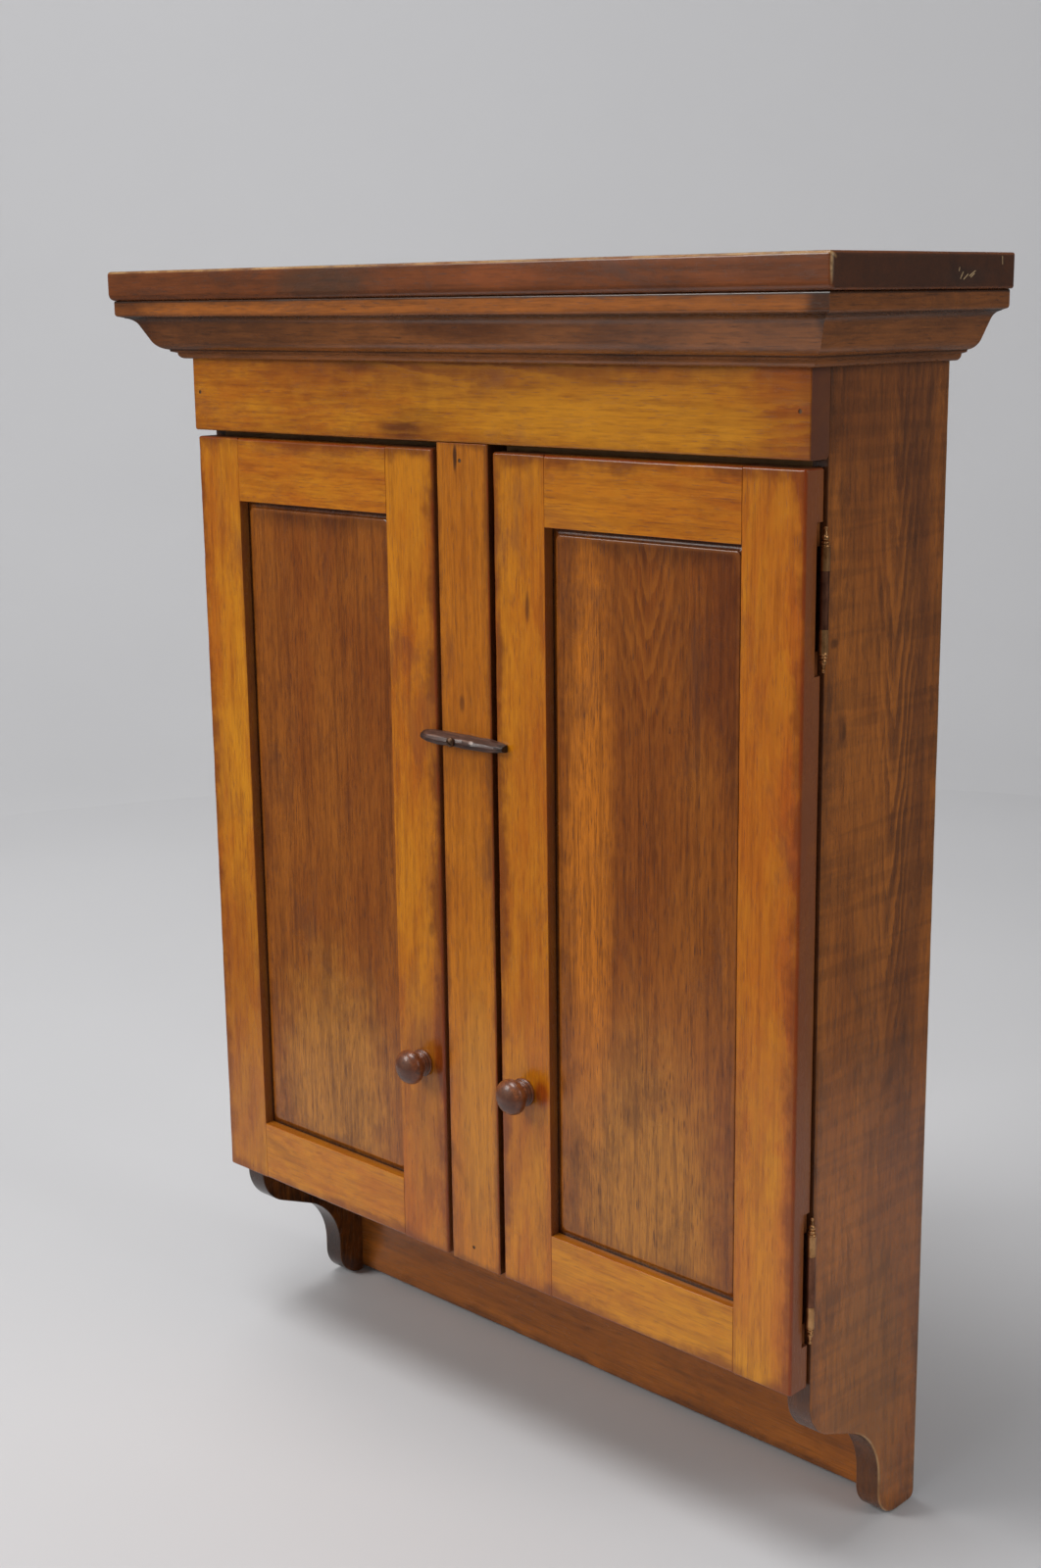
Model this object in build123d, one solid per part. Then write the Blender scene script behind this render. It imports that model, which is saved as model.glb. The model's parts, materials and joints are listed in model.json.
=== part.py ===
from build123d import *
import os

# Wall cupboard with two panelled doors.
# x runs across the front, y = 0 is the wall and -y is towards the room.
# z = 0 is the line of the two hanging screws. All lengths are millimetres.

# ---- driving dimensions: carcass -------------------------------------------
CARCASS_W = 660.0
CARCASS_D = 145.0
SIDE_T = 22.0
FRONT_T = 22.0
BOARD_T = 22.0
TOP_T = 24.4
TOP_OVERHANG = 50.0
FRIEZE_H = 110.6
CORNICE_H = 50.0
BRACKET_DROP = 155.0
STILE_W = 56.0
BACK_T = 12.0
BACK_BOARDS = 5
TONGUE_T = 4.0
TONGUE_W = 6.0
HOUSING = 8.0
REBATE = 10.0
SHELF_T = 18.0
SHELF_FRONT_Y = -132.0
SHELF_TOPS = (240.0, 450.0)
CLEAT_T = 14.0
CLEAT_H = 18.0
HANGING_X = 200.0
HANGING_R = 2.75

# ---- driving dimensions: doors ---------------------------------------------
DOOR_BOTTOM = -762.0
DOOR_H = 681.0
DOOR_T = 20.5
DOOR_TO_FRIEZE = 5.4
DOOR_LOCK_X = 33.0
DOOR_HINGE_X = 327.0
DOOR_EASE = 2.5
FRAME_W = 54.0
PANEL_RECESS = 6.5
PANEL_T = 9.0
COVE_W = 6.0
COVE_D = 2.5
GROOVE_D = 8.0
TENON_L = 35.0
TENON_SHOULDER = 12.0
KNOB_X = 59.0
KNOB_HEIGHTS = {"left": 167.0, "right": 171.0}
KNOB_SHANK_R = 5.0
BUTTON_X = -6.5
BUTTON_H = 452.0
BUTTON_SPAN = (-47.0, 46.0)
BUTTON_T = 12.0
BUTTON_HALF_H = 6.0
BUTTON_GAP = 0.3
BUTTON_SCREW_R = 2.0
BUTTON_SEAT_R = 4.6

# ---- driving dimensions: hinges --------------------------------------------
HINGE_X = 330.5
HINGE_Y = -148.5
HINGE_HEIGHTS = (88.0, 591.5)
HINGE_L = 72.0
KNUCKLE_L = 16.0
BARREL_R = 3.2
PIN_R = 1.5
LEAF_T = 1.2
LEAF_GAP = 0.2
BARREL_GAP = 0.5
FINIAL_REACH = 17.0

# ---- driving dimensions: nails, screws and fits ----------------------------
NAIL_R = 1.0
NAIL_L = 38.0
CORNICE_PIN_L = 20.0
NAIL_HEAD_R = 1.6
NAIL_HEAD_H = 1.2
NAIL_SUNK = 0.4
CLEAT_SCREW_R = 1.75
CLEAT_SCREW_L = 27.0
CLEAT_HEAD_R = 3.0
CLEAT_HEAD_H = 2.0
HINGE_SCREW_R = 1.3
HINGE_SCREW_L = 13.0
SINK_R = 2.4
SINK_H = 1.1
CLOSE_FIT = 0.02
RUNNING = 0.05
SLOT_HALF_W = 0.35
OVERCUT = 1.0

# ---- worked-out levels -----------------------------------------------------
HALF_W = CARCASS_W / 2
INNER_X = HALF_W - SIDE_T
FRONT_Y = -(CARCASS_D + FRONT_T)
DOOR_BACK_Y = FRONT_Y + DOOR_T
DOOR_TOP = DOOR_BOTTOM + DOOR_H
FRIEZE_BOTTOM = DOOR_TOP + DOOR_TO_FRIEZE
CARCASS_TOP = FRIEZE_BOTTOM + FRIEZE_H
CARCASS_BOTTOM = DOOR_BOTTOM - BRACKET_DROP
FLOOR_LOW = DOOR_BOTTOM + 5.0
FLOOR_HIGH = FLOOR_LOW + BOARD_T
RAIL_LOW = DOOR_TOP - 16.0
RAIL_HIGH = RAIL_LOW + 60.0
RAIL_BACK_Y = BOARD_T - CARCASS_D
HANGING_LOW = CARCASS_TOP - 70.0
HANGING_FRONT_Y = -(BACK_T + BOARD_T)
HOUSED_X = INNER_X + HOUSING
BACK_EDGE_X = INNER_X + REBATE
BACK_PITCH = 2 * BACK_EDGE_X / BACK_BOARDS
LEAF_INNER_X = INNER_X + 1.5
LEAF_FREE_X = HINGE_X - BARREL_R - BARREL_GAP
SIDE_LEAF_Y = (-CARCASS_D - LEAF_T, -CARCASS_D)
DOOR_LEAF_Y = (SIDE_LEAF_Y[0] - LEAF_GAP - LEAF_T, SIDE_LEAF_Y[0] - LEAF_GAP)
BUTTON_Z = DOOR_BOTTOM + BUTTON_H
BUTTON_BACK_Y = FRONT_Y - BUTTON_GAP

RIGHTWARD = (1, 0, 0)
ROOMWARD = (0, -1, 0)
WALLWARD = (0, 1, 0)
UPWARD = (0, 0, 1)
DOWNWARD = (0, 0, -1)


# ---- shapes ----------------------------------------------------------------
def block(x, y, z):
    """A rectangular board given by its (low, high) along each axis."""
    size = [high - low for low, high in (x, y, z)]
    middle = [(high + low) / 2 for low, high in (x, y, z)]
    return Pos(*middle) * Box(*size)


def rod(start, end, radius):
    """A round rod from one point to another."""
    start, end = Vector(start), Vector(end)
    plane = Plane(origin=start, z_dir=end - start)
    return plane * extrude(Circle(radius), (end - start).length)


def turned(outline, origin, outward):
    """A turned solid whose closed outline holds (radius, height) points, height running outward."""
    across = Vector(0, 0, 1) if abs(Vector(outward).X) > 0.5 else Vector(1, 0, 0)
    plane = Plane(origin=origin, x_dir=across, z_dir=across.cross(Vector(outward)))
    return (plane * revolve(make_face(outline), Axis.Y, 360)).solid()


def mirrored(part):
    """The same piece on the left-hand side."""
    return mirror(part, about=Plane.YZ)


def both_sides(name, part):
    """A right-hand piece and its left-hand mirror image."""
    return {f"right_{name}": part, f"left_{name}": mirrored(part)}


def joined(parts):
    """Several separate solids kept side by side in one piece."""
    return Compound(children=[solid for part in parts for solid in part.solids()])


def front_of(edges, y):
    """Those edges whose middles lie nearer the room than y."""
    return [edge for edge in edges if edge.center().Y < y]


# ---- nails and screws ------------------------------------------------------
def nail(point, outward, length=NAIL_L):
    """A headed nail whose head looks outward."""
    point, outward = Vector(point), Vector(outward)
    neck = point - outward * NAIL_HEAD_H
    head = rod(neck, point, NAIL_HEAD_R)
    shank = rod(point - outward * length, neck, NAIL_R)
    return (head + shank).solid()


def nail_hole(point, outward, length=NAIL_L):
    """The hole that one nail sits in, open at the outside."""
    point, outward = Vector(point), Vector(outward)
    neck = point - outward * (NAIL_HEAD_H + CLOSE_FIT)
    tip = point - outward * (length + OVERCUT / 2)
    mouth = point + outward * 4
    return [rod(tip, neck, NAIL_R + CLOSE_FIT), rod(neck, mouth, NAIL_HEAD_R + CLOSE_FIT)]


def nail_holes(points, outward):
    """The holes of several equal nails."""
    return [hole for point in points for hole in nail_hole(point, outward)]


def top_nail_points():
    """Nails through the top board into the sides."""
    x = HALF_W - SIDE_T / 2
    z = CARCASS_TOP + TOP_T - NAIL_SUNK
    return [(side * x, y, z) for side in (-1, 1) for y in (-52, -92, -132)]


def frieze_nail_points():
    """Two nails at each end of the frieze, the upper ones under the cornice."""
    x = HALF_W - 9.0
    levels = (DOOR_BOTTOM + 719, CARCASS_TOP - 22)
    return [(side * x, FRONT_Y + NAIL_SUNK, z) for side in (-1, 1) for z in levels]


def stile_nail_points():
    """One nail at each end of the centre stile."""
    return [(-2.0, FRONT_Y + NAIL_SUNK, z) for z in (DOOR_BOTTOM + 16, RAIL_LOW + 8)]


def back_nail_points():
    """Two nails at each end of every back board."""
    centres = [(index + 0.5) * BACK_PITCH - BACK_EDGE_X for index in range(BACK_BOARDS)]
    levels = (FLOOR_LOW + BOARD_T / 2, CARCASS_TOP - 16)
    return [(x + offset, -NAIL_SUNK, z) for x in centres for offset in (-40, 40) for z in levels]


def cornice_pins():
    """The (point, outward) of each fine pin through the foot of the cornice."""
    out, z = 7.4, CARCASS_TOP - CORNICE_H + 3.0
    pins = [((x, FRONT_Y - out, z), ROOMWARD) for x in (-300, -100, 100, 300)]
    for side in (-1, 1):
        pins += [((side * (HALF_W + out), y, z), (side, 0, 0)) for y in (-29, -125)]
    return pins


def cornice_pin_holes():
    """The holes of all the cornice's pins."""
    return [hole for point, outward in cornice_pins() for hole in nail_hole(point, outward, CORNICE_PIN_L)]


def cleat_screw_points():
    """Screws through the cleats into the side panels."""
    x = INNER_X - CLEAT_T
    levels = [DOOR_BOTTOM + top - SHELF_T - CLEAT_H / 2 for top in SHELF_TOPS]
    return [(side * x, y, z) for side in (-1, 1) for z in levels for y in (-40, -100)]


def cleat_screw_hole(x, y, z):
    """Clearance for one cleat screw and its let-in head."""
    side = 1 if x > 0 else -1
    head = rod((x - side * OVERCUT, y, z), (x + side * CLEAT_HEAD_H, y, z), CLEAT_HEAD_R + 0.1)
    shank = rod((x, y, z), (x + side * (CLEAT_SCREW_L + OVERCUT), y, z), CLEAT_SCREW_R + CLOSE_FIT)
    return head + shank


def cleat_screw(x, y, z):
    """Slotted cheese-head wood screw, its head let into the cleat."""
    side = 1 if x > 0 else -1
    slot_depth = 1.1
    head = rod((x + side * 0.2, y, z), (x + side * CLEAT_HEAD_H, y, z), CLEAT_HEAD_R)
    shank = rod((x + side * 1.9, y, z), (x + side * CLEAT_SCREW_L, y, z), CLEAT_SCREW_R)
    slot = block(
        (x - slot_depth, x + slot_depth),
        (y - SLOT_HALF_W, y + SLOT_HALF_W),
        (z - CLEAT_HEAD_R - OVERCUT, z + CLEAT_HEAD_R + OVERCUT),
    )
    return (head + shank - slot).solid()


def right_cleat_screw_holes():
    """The cleat screws' holes on the right-hand side."""
    return [cleat_screw_hole(*point) for point in cleat_screw_points() if point[0] > 0]


def hanging_holes():
    """Two clear holes for wall screws."""
    start, end = HANGING_FRONT_Y - OVERCUT, OVERCUT
    return [rod((x, start, 0), (x, end, 0), HANGING_R) for x in (-HANGING_X, HANGING_X)]


# ---- carcass ---------------------------------------------------------------
def top_board():
    """Thick flat top with a large ease under its front and end edges."""
    half = HALF_W + TOP_OVERHANG
    top = CARCASS_TOP + TOP_T
    board = block((-half, half), (FRONT_Y - TOP_OVERHANG, 0), (CARCASS_TOP, top))
    board = fillet(board.edges().filter_by(Axis.Z).group_by(Axis.Y)[0], 3.0)
    board = fillet(front_of(board.faces().sort_by(Axis.Z)[0].edges(), -0.1), 5.5)
    board = fillet(front_of(board.faces().sort_by(Axis.Z)[-1].edges(), -0.1), 2.5)
    return board - joined(nail_holes(top_nail_points(), UPWARD))


def side_outline():
    """Side panel as (y, z): plain above, a scrolled bracket below."""
    lobe, slope, arch, toe = (23.0, 34.5), (34.0, 14.17), (37.0, 55.5), 26.0
    front = -CARCASS_D
    shoulder = DOOR_BOTTOM - 13.5
    lobe_end = (front + lobe[0], shoulder - lobe[1])
    slope_end = (lobe_end[0] + slope[0], lobe_end[1] - slope[1])
    arch_end = (slope_end[0] + arch[0], slope_end[1] - arch[1])
    toe_start = (arch_end[0], CARCASS_BOTTOM + toe)
    toe_end = (arch_end[0] + toe, CARCASS_BOTTOM)
    lines = [
        Line((0, CARCASS_TOP), (front, CARCASS_TOP)),
        Line((front, CARCASS_TOP), (front, shoulder)),
        TangentArc((front, shoulder), lobe_end, tangent=(0, -1)),
        Line(lobe_end, slope_end),
        TangentArc(arch_end, slope_end, tangent=(0, 1)),
        Line(arch_end, toe_start),
        TangentArc(toe_start, toe_end, tangent=(0, -1)),
        Line(toe_end, (0, CARCASS_BOTTOM)),
        Line((0, CARCASS_BOTTOM), (0, CARCASS_TOP)),
    ]
    return make_face(lines)


def side_joinery():
    """Everything cut from the right side panel: rebate and housings."""
    inner = (INNER_X - OVERCUT, HOUSED_X)
    front = -CARCASS_D - OVERCUT
    above = CARCASS_TOP + OVERCUT
    return [
        block((INNER_X - OVERCUT, BACK_EDGE_X), (-BACK_T, OVERCUT), (FLOOR_LOW, above)),
        block(inner, (-BOARD_T, OVERCUT), (CARCASS_BOTTOM - OVERCUT, FLOOR_LOW)),
        block(inner, (front, -BACK_T), (FLOOR_LOW, FLOOR_HIGH)),
        block(inner, (front, RAIL_BACK_Y), (RAIL_LOW, RAIL_HIGH)),
        block(inner, (HANGING_FRONT_Y, -BACK_T), (HANGING_LOW, above)),
    ]


def right_side():
    """Right side panel with its joinery and holes."""
    board = Plane.YZ.offset(INNER_X) * extrude(side_outline(), SIDE_T)
    board -= side_joinery()
    holes = nail_holes(top_nail_points(), UPWARD)
    holes += nail_holes(frieze_nail_points(), ROOMWARD)
    holes += hinge_pilots("side") + right_cleat_screw_holes() + cornice_pin_holes()
    return (board - joined(holes)).solid()


def floor_board():
    """Bottom board, housed in the sides."""
    board = block((-HOUSED_X, HOUSED_X), (-CARCASS_D, -BACK_T), (FLOOR_LOW, FLOOR_HIGH))
    holes = nail_holes(stile_nail_points(), ROOMWARD) + nail_holes(back_nail_points(), WALLWARD)
    return board - joined(holes)


def shelf(top):
    """Loose shelf that rests on two cleats."""
    half = INNER_X - 2.0
    high = DOOR_BOTTOM + top
    board = block((-half, half), (SHELF_FRONT_Y, -BACK_T - 1), (high - SHELF_T, high))
    return fillet(board.edges().filter_by(Axis.X).group_by(Axis.Y)[0], 2.0)


def right_cleat(top):
    """Shelf cleat on the right side panel, chamfered at its front end."""
    high = DOOR_BOTTOM + top - SHELF_T
    levels = (high - CLEAT_H, high)
    bar = block((INNER_X - CLEAT_T, INNER_X), (SHELF_FRONT_Y + 6, -BACK_T - 4), levels)
    nose = bar.edges().filter_by(Axis.X).group_by(Axis.Y)[0].sort_by(Axis.Z)[0]
    return chamfer(nose, 8.0) - joined(right_cleat_screw_holes())


def back_board(index):
    """One upright board of the back: tongue on its right edge, groove on its left."""
    gap, play = 0.2, 0.1
    levels = (FLOOR_LOW, CARCASS_TOP)
    left = index * BACK_PITCH - BACK_EDGE_X + gap
    right = left + BACK_PITCH - 2 * gap
    near = -(BACK_T + TONGUE_T) / 2
    far = near + TONGUE_T
    board = block((left, right), (-BACK_T, 0), levels)
    if index < BACK_BOARDS - 1:
        board += block((right - OVERCUT, right + TONGUE_W), (near, far), levels)
    if index > 0:
        reach = left + TONGUE_W + 2 * gap
        board -= block((left - OVERCUT, reach), (near - play, far + play), levels)
    holes = nail_holes(back_nail_points(), WALLWARD) + hanging_holes()
    return (board - joined(holes)).solid()


def hanging_rail():
    """Rail under the top through which the cupboard is screwed to the wall."""
    levels = (HANGING_LOW, CARCASS_TOP)
    board = block((-HOUSED_X, HOUSED_X), (HANGING_FRONT_Y, -BACK_T), levels)
    return board - joined(nail_holes(back_nail_points(), WALLWARD) + hanging_holes())


def front_rail():
    """Inner rail behind the frieze, where the centre stile is nailed."""
    board = block((-HOUSED_X, HOUSED_X), (-CARCASS_D, RAIL_BACK_Y), (RAIL_LOW, RAIL_HIGH))
    return board - joined(nail_holes(stile_nail_points(), ROOMWARD))


def apron():
    """Board between the brackets, at the back below the floor."""
    levels = (CARCASS_BOTTOM + 4, FLOOR_LOW)
    board = block((-HOUSED_X, HOUSED_X), (-BOARD_T, 0), levels)
    lower_edge = board.edges().filter_by(Axis.X).group_by(Axis.Z)[0].sort_by(Axis.Y)[0]
    return fillet(lower_edge, 2.0)


def frieze():
    """Board across the front above the doors, planted on the sides' front edges."""
    levels = (FRIEZE_BOTTOM, CARCASS_TOP)
    board = block((-HALF_W, HALF_W), (FRONT_Y, -CARCASS_D), levels)
    board = fillet(front_of(board.faces().sort_by(Axis.Z)[0].edges(), -CARCASS_D - 1), 2.0)
    holes = nail_holes(frieze_nail_points(), ROOMWARD) + cornice_pin_holes()
    return board - joined(holes)


def centre_stile():
    """Fixed upright between the doors, flush with their faces."""
    half = STILE_W / 2
    board = block((-half, half), (FRONT_Y, -CARCASS_D), (DOOR_BOTTOM, FRIEZE_BOTTOM))
    board = fillet(board.faces().sort_by(Axis.Y)[0].edges().filter_by(Axis.Z), 1.2)
    mouth = (BUTTON_X, FRONT_Y - OVERCUT, BUTTON_Z)
    tip = (BUTTON_X, FRONT_Y + 18, BUTTON_Z)
    holes = nail_holes(stile_nail_points(), ROOMWARD)
    return board - joined(holes + [rod(mouth, tip, BUTTON_SCREW_R)])


# ---- cornice ---------------------------------------------------------------
def cornice_face():
    """Moulding section as (projection, height): fillet, reversed ogee and bead."""
    low, high = CARCASS_TOP - CORNICE_H, CARCASS_TOP
    foot = low + 0.6
    ogee_top, ogee_middle, ogee_foot = (39.0, low + 34.6), (27.0, low + 20.0), (13.6, low + 8.2)
    bead = [(13.2, low + 6.6), (8.8, low + 5.4), (4.6, foot)]
    upper = TangentArc(ogee_top, ogee_middle, tangent=(-1, -0.15))
    lines = [
        Line((0, high), (44.5, high)),
        TangentArc((44.5, high), (46, high - 1.5), tangent=(1, 0)),
        Line((46, high - 1.5), (46, high - 11)),
        TangentArc((46, high - 11), (43.6, high - 13.4), tangent=(0, -1)),
        Line((43.6, high - 13.4), (42.4, high - 13.8)),
        Line((42.4, high - 13.8), ogee_top),
        upper,
        TangentArc(ogee_middle, ogee_foot, tangent=upper % 1),
        Line(ogee_foot, bead[0]),
        Line(bead[0], bead[1]),
        TangentArc(bead[1], bead[2], tangent=(0, -1)),
        Line(bead[2], (0, foot)),
        Line((0, foot), (0, high)),
    ]
    return make_face(lines)


def mitre_wedge():
    """Everything in front of the right-hand mitre plane."""
    reach, height = 80.0, 80.0
    near = FRONT_Y - reach
    outline = Polyline(
        (HALF_W, FRONT_Y),
        (HALF_W + reach, near),
        (-reach, near),
        (-reach, FRONT_Y),
        close=True,
    )
    return Pos(0, 0, CARCASS_TOP - CORNICE_H - 10) * extrude(make_face(outline), height)


def cornice_front():
    """Front length of the cornice, mitred at both ends."""
    section = Plane(origin=(0, FRONT_Y, 0), x_dir=(0, -1, 0), z_dir=(-1, 0, 0))
    bar = extrude(section * cornice_face(), HALF_W + 60.0, both=True)
    bar = bar & (mitre_wedge() + mirrored(mitre_wedge()))
    return bar - joined(cornice_pin_holes())


def cornice_right():
    """Right return of the cornice, mitred at the front and square at the wall."""
    section = Plane(origin=(HALF_W, 0, 0), x_dir=(1, 0, 0), z_dir=(0, -1, 0))
    bar = extrude(section * cornice_face(), -FRONT_Y + 60.0)
    bar -= mitre_wedge()
    return (bar.solid() - joined(cornice_pin_holes())).solid()


# ---- doors -----------------------------------------------------------------
def sight_opening():
    """The right door's opening round the panel: (x low, high) and (z low, high)."""
    x = (DOOR_LOCK_X + FRAME_W, DOOR_HINGE_X - FRAME_W)
    z = (DOOR_BOTTOM + FRAME_W, DOOR_TOP - FRAME_W)
    return x, z


def groove_y():
    """Depth range of the panel groove in the door frame."""
    play = 0.05
    return FRONT_Y + PANEL_RECESS + COVE_D - play, FRONT_Y + PANEL_RECESS + PANEL_T + play


def rail(bottom):
    """Top or bottom rail of the right door with its haunched tenons."""
    (left, right), (low, high) = sight_opening()
    inner, outer = (low, DOOR_BOTTOM) if bottom else (high, DOOR_TOP)
    inward = 1 if bottom else -1
    root = inner - inward * (GROOVE_D + 0.2)
    board = block((left, right), (FRONT_Y, DOOR_BACK_Y), sorted((outer, inner)))
    long_edges = board.faces().sort_by(Axis.Y)[0].edges().filter_by(Axis.X).sort_by(Axis.Z)
    board = fillet(long_edges[0 if bottom else -1], DOOR_EASE)
    slot = sorted((inner + inward * OVERCUT, inner - inward * GROOVE_D))
    board -= block((left - OVERCUT, right + OVERCUT), groove_y(), slot)
    near, far = groove_y()
    thick = (near + CLOSE_FIT, far - CLOSE_FIT)
    tenon = sorted((root, outer + inward * TENON_SHOULDER))
    haunch = sorted((root, outer + inward * DOOR_EASE))
    for shoulder, away in ((left, -1), (right, 1)):
        start = shoulder - away * OVERCUT
        board += block(sorted((start, shoulder + away * TENON_L)), thick, tenon)
        board += block(sorted((start, shoulder + away * (GROOVE_D - 0.2))), thick, haunch)
    return board.solid()


def stile_blank(inner, outer):
    """Full-height stile between two x positions, grooved and mortised on its inner edge."""
    away = 1 if outer > inner else -1
    board = block(sorted((inner, outer)), (FRONT_Y, DOOR_BACK_Y), (DOOR_BOTTOM, DOOR_TOP))
    front = board.faces().sort_by(Axis.Y)[0].edges()
    outer_edge = front.filter_by(Axis.Z).sort_by(Axis.X)[-1 if away > 0 else 0]
    board = fillet([outer_edge] + list(front.filter_by(Axis.X)), DOOR_EASE)
    slot = sorted((inner - away * OVERCUT, inner + away * GROOVE_D))
    mortise = sorted((inner, inner + away * (TENON_L + 0.5)))
    near, far = TENON_SHOULDER - CLOSE_FIT, FRAME_W - GROOVE_D
    board -= block(slot, groove_y(), (DOOR_BOTTOM + DOOR_EASE - 0.1, DOOR_TOP - DOOR_EASE + 0.1))
    board -= block(mortise, groove_y(), (DOOR_BOTTOM + near, DOOR_BOTTOM + far))
    board -= block(mortise, groove_y(), (DOOR_TOP - far, DOOR_TOP - near))
    return board


def hinge_stile():
    """Right door's hinge stile, let in for its two hinges."""
    board = stile_blank(DOOR_HINGE_X - FRAME_W, DOOR_HINGE_X)
    gains = [cut for height in HINGE_HEIGHTS for cut in hinge_gain(height)]
    return (board - joined(gains + hinge_pilots("door"))).solid()


def lock_stile(knob_z):
    """Right door's lock stile, bored for its knob."""
    board = stile_blank(DOOR_LOCK_X + FRAME_W, DOOR_LOCK_X)
    start, end = FRONT_Y - OVERCUT, DOOR_BACK_Y + OVERCUT
    return (board - rod((KNOB_X, start, knob_z), (KNOB_X, end, knob_z), KNOB_SHANK_R)).solid()


def hinge_gain(height):
    """Recess for the door leaf and the notch that clears barrel and finials."""
    middle = DOOR_BOTTOM + height
    half = HINGE_L / 2
    play = 0.2
    back = DOOR_BACK_Y + OVERCUT
    outer = DOOR_HINGE_X + OVERCUT
    leaf_levels = (middle - half - play, middle + half + play)
    notch_levels = (middle - half - FINIAL_REACH, middle + half + FINIAL_REACH)
    sunk = block((LEAF_INNER_X - play, outer), (DOOR_LEAF_Y[0] - CLOSE_FIT, back), leaf_levels)
    notch = block((DOOR_HINGE_X - 3.0, outer), (HINGE_Y - 4.0, back), notch_levels)
    ends = notch.edges().filter_by(Axis.X).group_by(Axis.Y)[0]
    return [sunk, fillet(ends, 4.0)]


def panel():
    """Flat panel of the right door with a shallow cove round its sight edge."""
    (left, right), (low, high) = sight_opening()
    front = FRONT_Y + PANEL_RECESS
    tongue = GROOVE_D - 0.8
    tongue_y = (front + COVE_D, front + PANEL_T)
    field_y = (front, front + COVE_D + 0.5)
    board = block((left - tongue, right + tongue), tongue_y, (low - tongue, high + tongue))
    field = block((left + COVE_W, right - COVE_W), field_y, (low + COVE_W, high - COVE_W))
    field = fillet(field.edges().filter_by(Axis.Y), 5.0)
    return (board + fillet(field.faces().sort_by(Axis.Y)[0].edges(), 1.6)).solid()


def knob(knob_z):
    """Turned knob of the right door: ringed base, neck and domed head."""
    shank, tail, dome = KNOB_SHANK_R - CLOSE_FIT, 0.5 - DOOR_T, 25.0
    outline = [
        Line((0, tail), (shank, tail)),
        Line((shank, tail), (shank, 0)),
        Line((shank, 0), (11.4, 0)),
        ThreePointArc((11.4, 0), (11.8, 1.4), (10.4, 2.8)),
        ThreePointArc((10.4, 2.8), (10.6, 4.2), (9.4, 5.4)),
        ThreePointArc((9.4, 5.4), (8.0, 8.4), (10.6, 12.0)),
        Line((10.6, 12.0), (13.4, 13.0)),
        ThreePointArc((13.4, 13.0), (14.5, 14.2), (14.8, 16.0)),
        Spline((14.8, 16.0), (11.2, 22.0), (0, dome), tangents=((0, 1), (-1, 0))),
        Line((0, dome), (0, tail)),
    ]
    return turned(outline, (KNOB_X, FRONT_Y, knob_z), ROOMWARD)


# ---- turn button -----------------------------------------------------------
def button_plane(out):
    """A plane parallel to the front, this far in front of the button's back."""
    return Plane(origin=(0, BUTTON_BACK_Y - out, 0), x_dir=RIGHTWARD, z_dir=ROOMWARD)


def turn_button():
    """Whittled wooden bar that turns on one screw to hold both doors shut."""
    left, right = BUTTON_SPAN
    low, high = BUTTON_Z - BUTTON_HALF_H, BUTTON_Z + BUTTON_HALF_H
    outline = make_face(
        Polyline(
            (left, BUTTON_Z),
            (left + 10, high),
            (right - 12, high),
            (right, BUTTON_Z),
            (right - 14, low),
            (left + 12, low),
            close=True,
        )
    )
    bar = extrude(button_plane(0) * outline, BUTTON_T / 2)
    bar += extrude(button_plane(BUTTON_T / 2) * outline, BUTTON_T / 2, taper=30)
    outside = (BUTTON_X, FRONT_Y - BUTTON_T - 8, BUTTON_Z)
    bore = rod((BUTTON_X, FRONT_Y + OVERCUT, BUTTON_Z), outside, BUTTON_SCREW_R + RUNNING)
    seat = rod((BUTTON_X, FRONT_Y - BUTTON_T + 1.0, BUTTON_Z), outside, BUTTON_SEAT_R)
    return (bar - bore - seat).solid()


def turn_button_screw():
    """Slotted round-head screw on which the button turns."""
    face = FRONT_Y - BUTTON_T + 0.8
    rim, crown = 0.5, 2.8
    outline = [
        Line((0, 0), (4.0, 0)),
        Line((4.0, 0), (4.0, rim)),
        Spline((4.0, rim), (2.9, 2.0), (0, crown), tangents=((0, 1), (-1, 0))),
        Line((0, crown), (0, 0)),
    ]
    base = (BUTTON_X, face, BUTTON_Z)
    head = turned(outline, base, ROOMWARD)
    shank = rod(base, (BUTTON_X, FRONT_Y + 17, BUTTON_Z), BUTTON_SCREW_R - CLOSE_FIT)
    slot = block((-5, 5), (-crown - OVERCUT, 1.4 - crown), (-0.45, 0.45))
    return (head + shank - Pos(*base) * Rot(0, 35, 0) * slot).solid()


# ---- hinges ----------------------------------------------------------------
def hinge_ends(height):
    """The lower and upper end of one hinge's barrel."""
    middle = DOOR_BOTTOM + height
    return middle - HINGE_L / 2, middle + HINGE_L / 2


def barrel_rod(low, high, radius):
    """A rod on the hinge's axis."""
    return rod((HINGE_X, HINGE_Y, low), (HINGE_X, HINGE_Y, high), radius)


def right_side_leaf(height):
    """Leaf with the lower and upper knuckles."""
    low, high = hinge_ends(height)
    split = KNUCKLE_L - 0.1
    leaf = block((LEAF_INNER_X, LEAF_FREE_X), SIDE_LEAF_Y, (low, high))
    for levels in ((low, low + split), (high - split, high)):
        leaf += block((LEAF_FREE_X - OVERCUT, HINGE_X), SIDE_LEAF_Y, levels)
        leaf += block((HINGE_X - BARREL_R, HINGE_X), (HINGE_Y, SIDE_LEAF_Y[1]), levels)
        leaf += barrel_rod(*levels, BARREL_R)
    leaf -= barrel_rod(low - OVERCUT, high + OVERCUT, PIN_R + CLOSE_FIT)
    return (leaf - joined(hinge_sinks("side", height))).solid()


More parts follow.
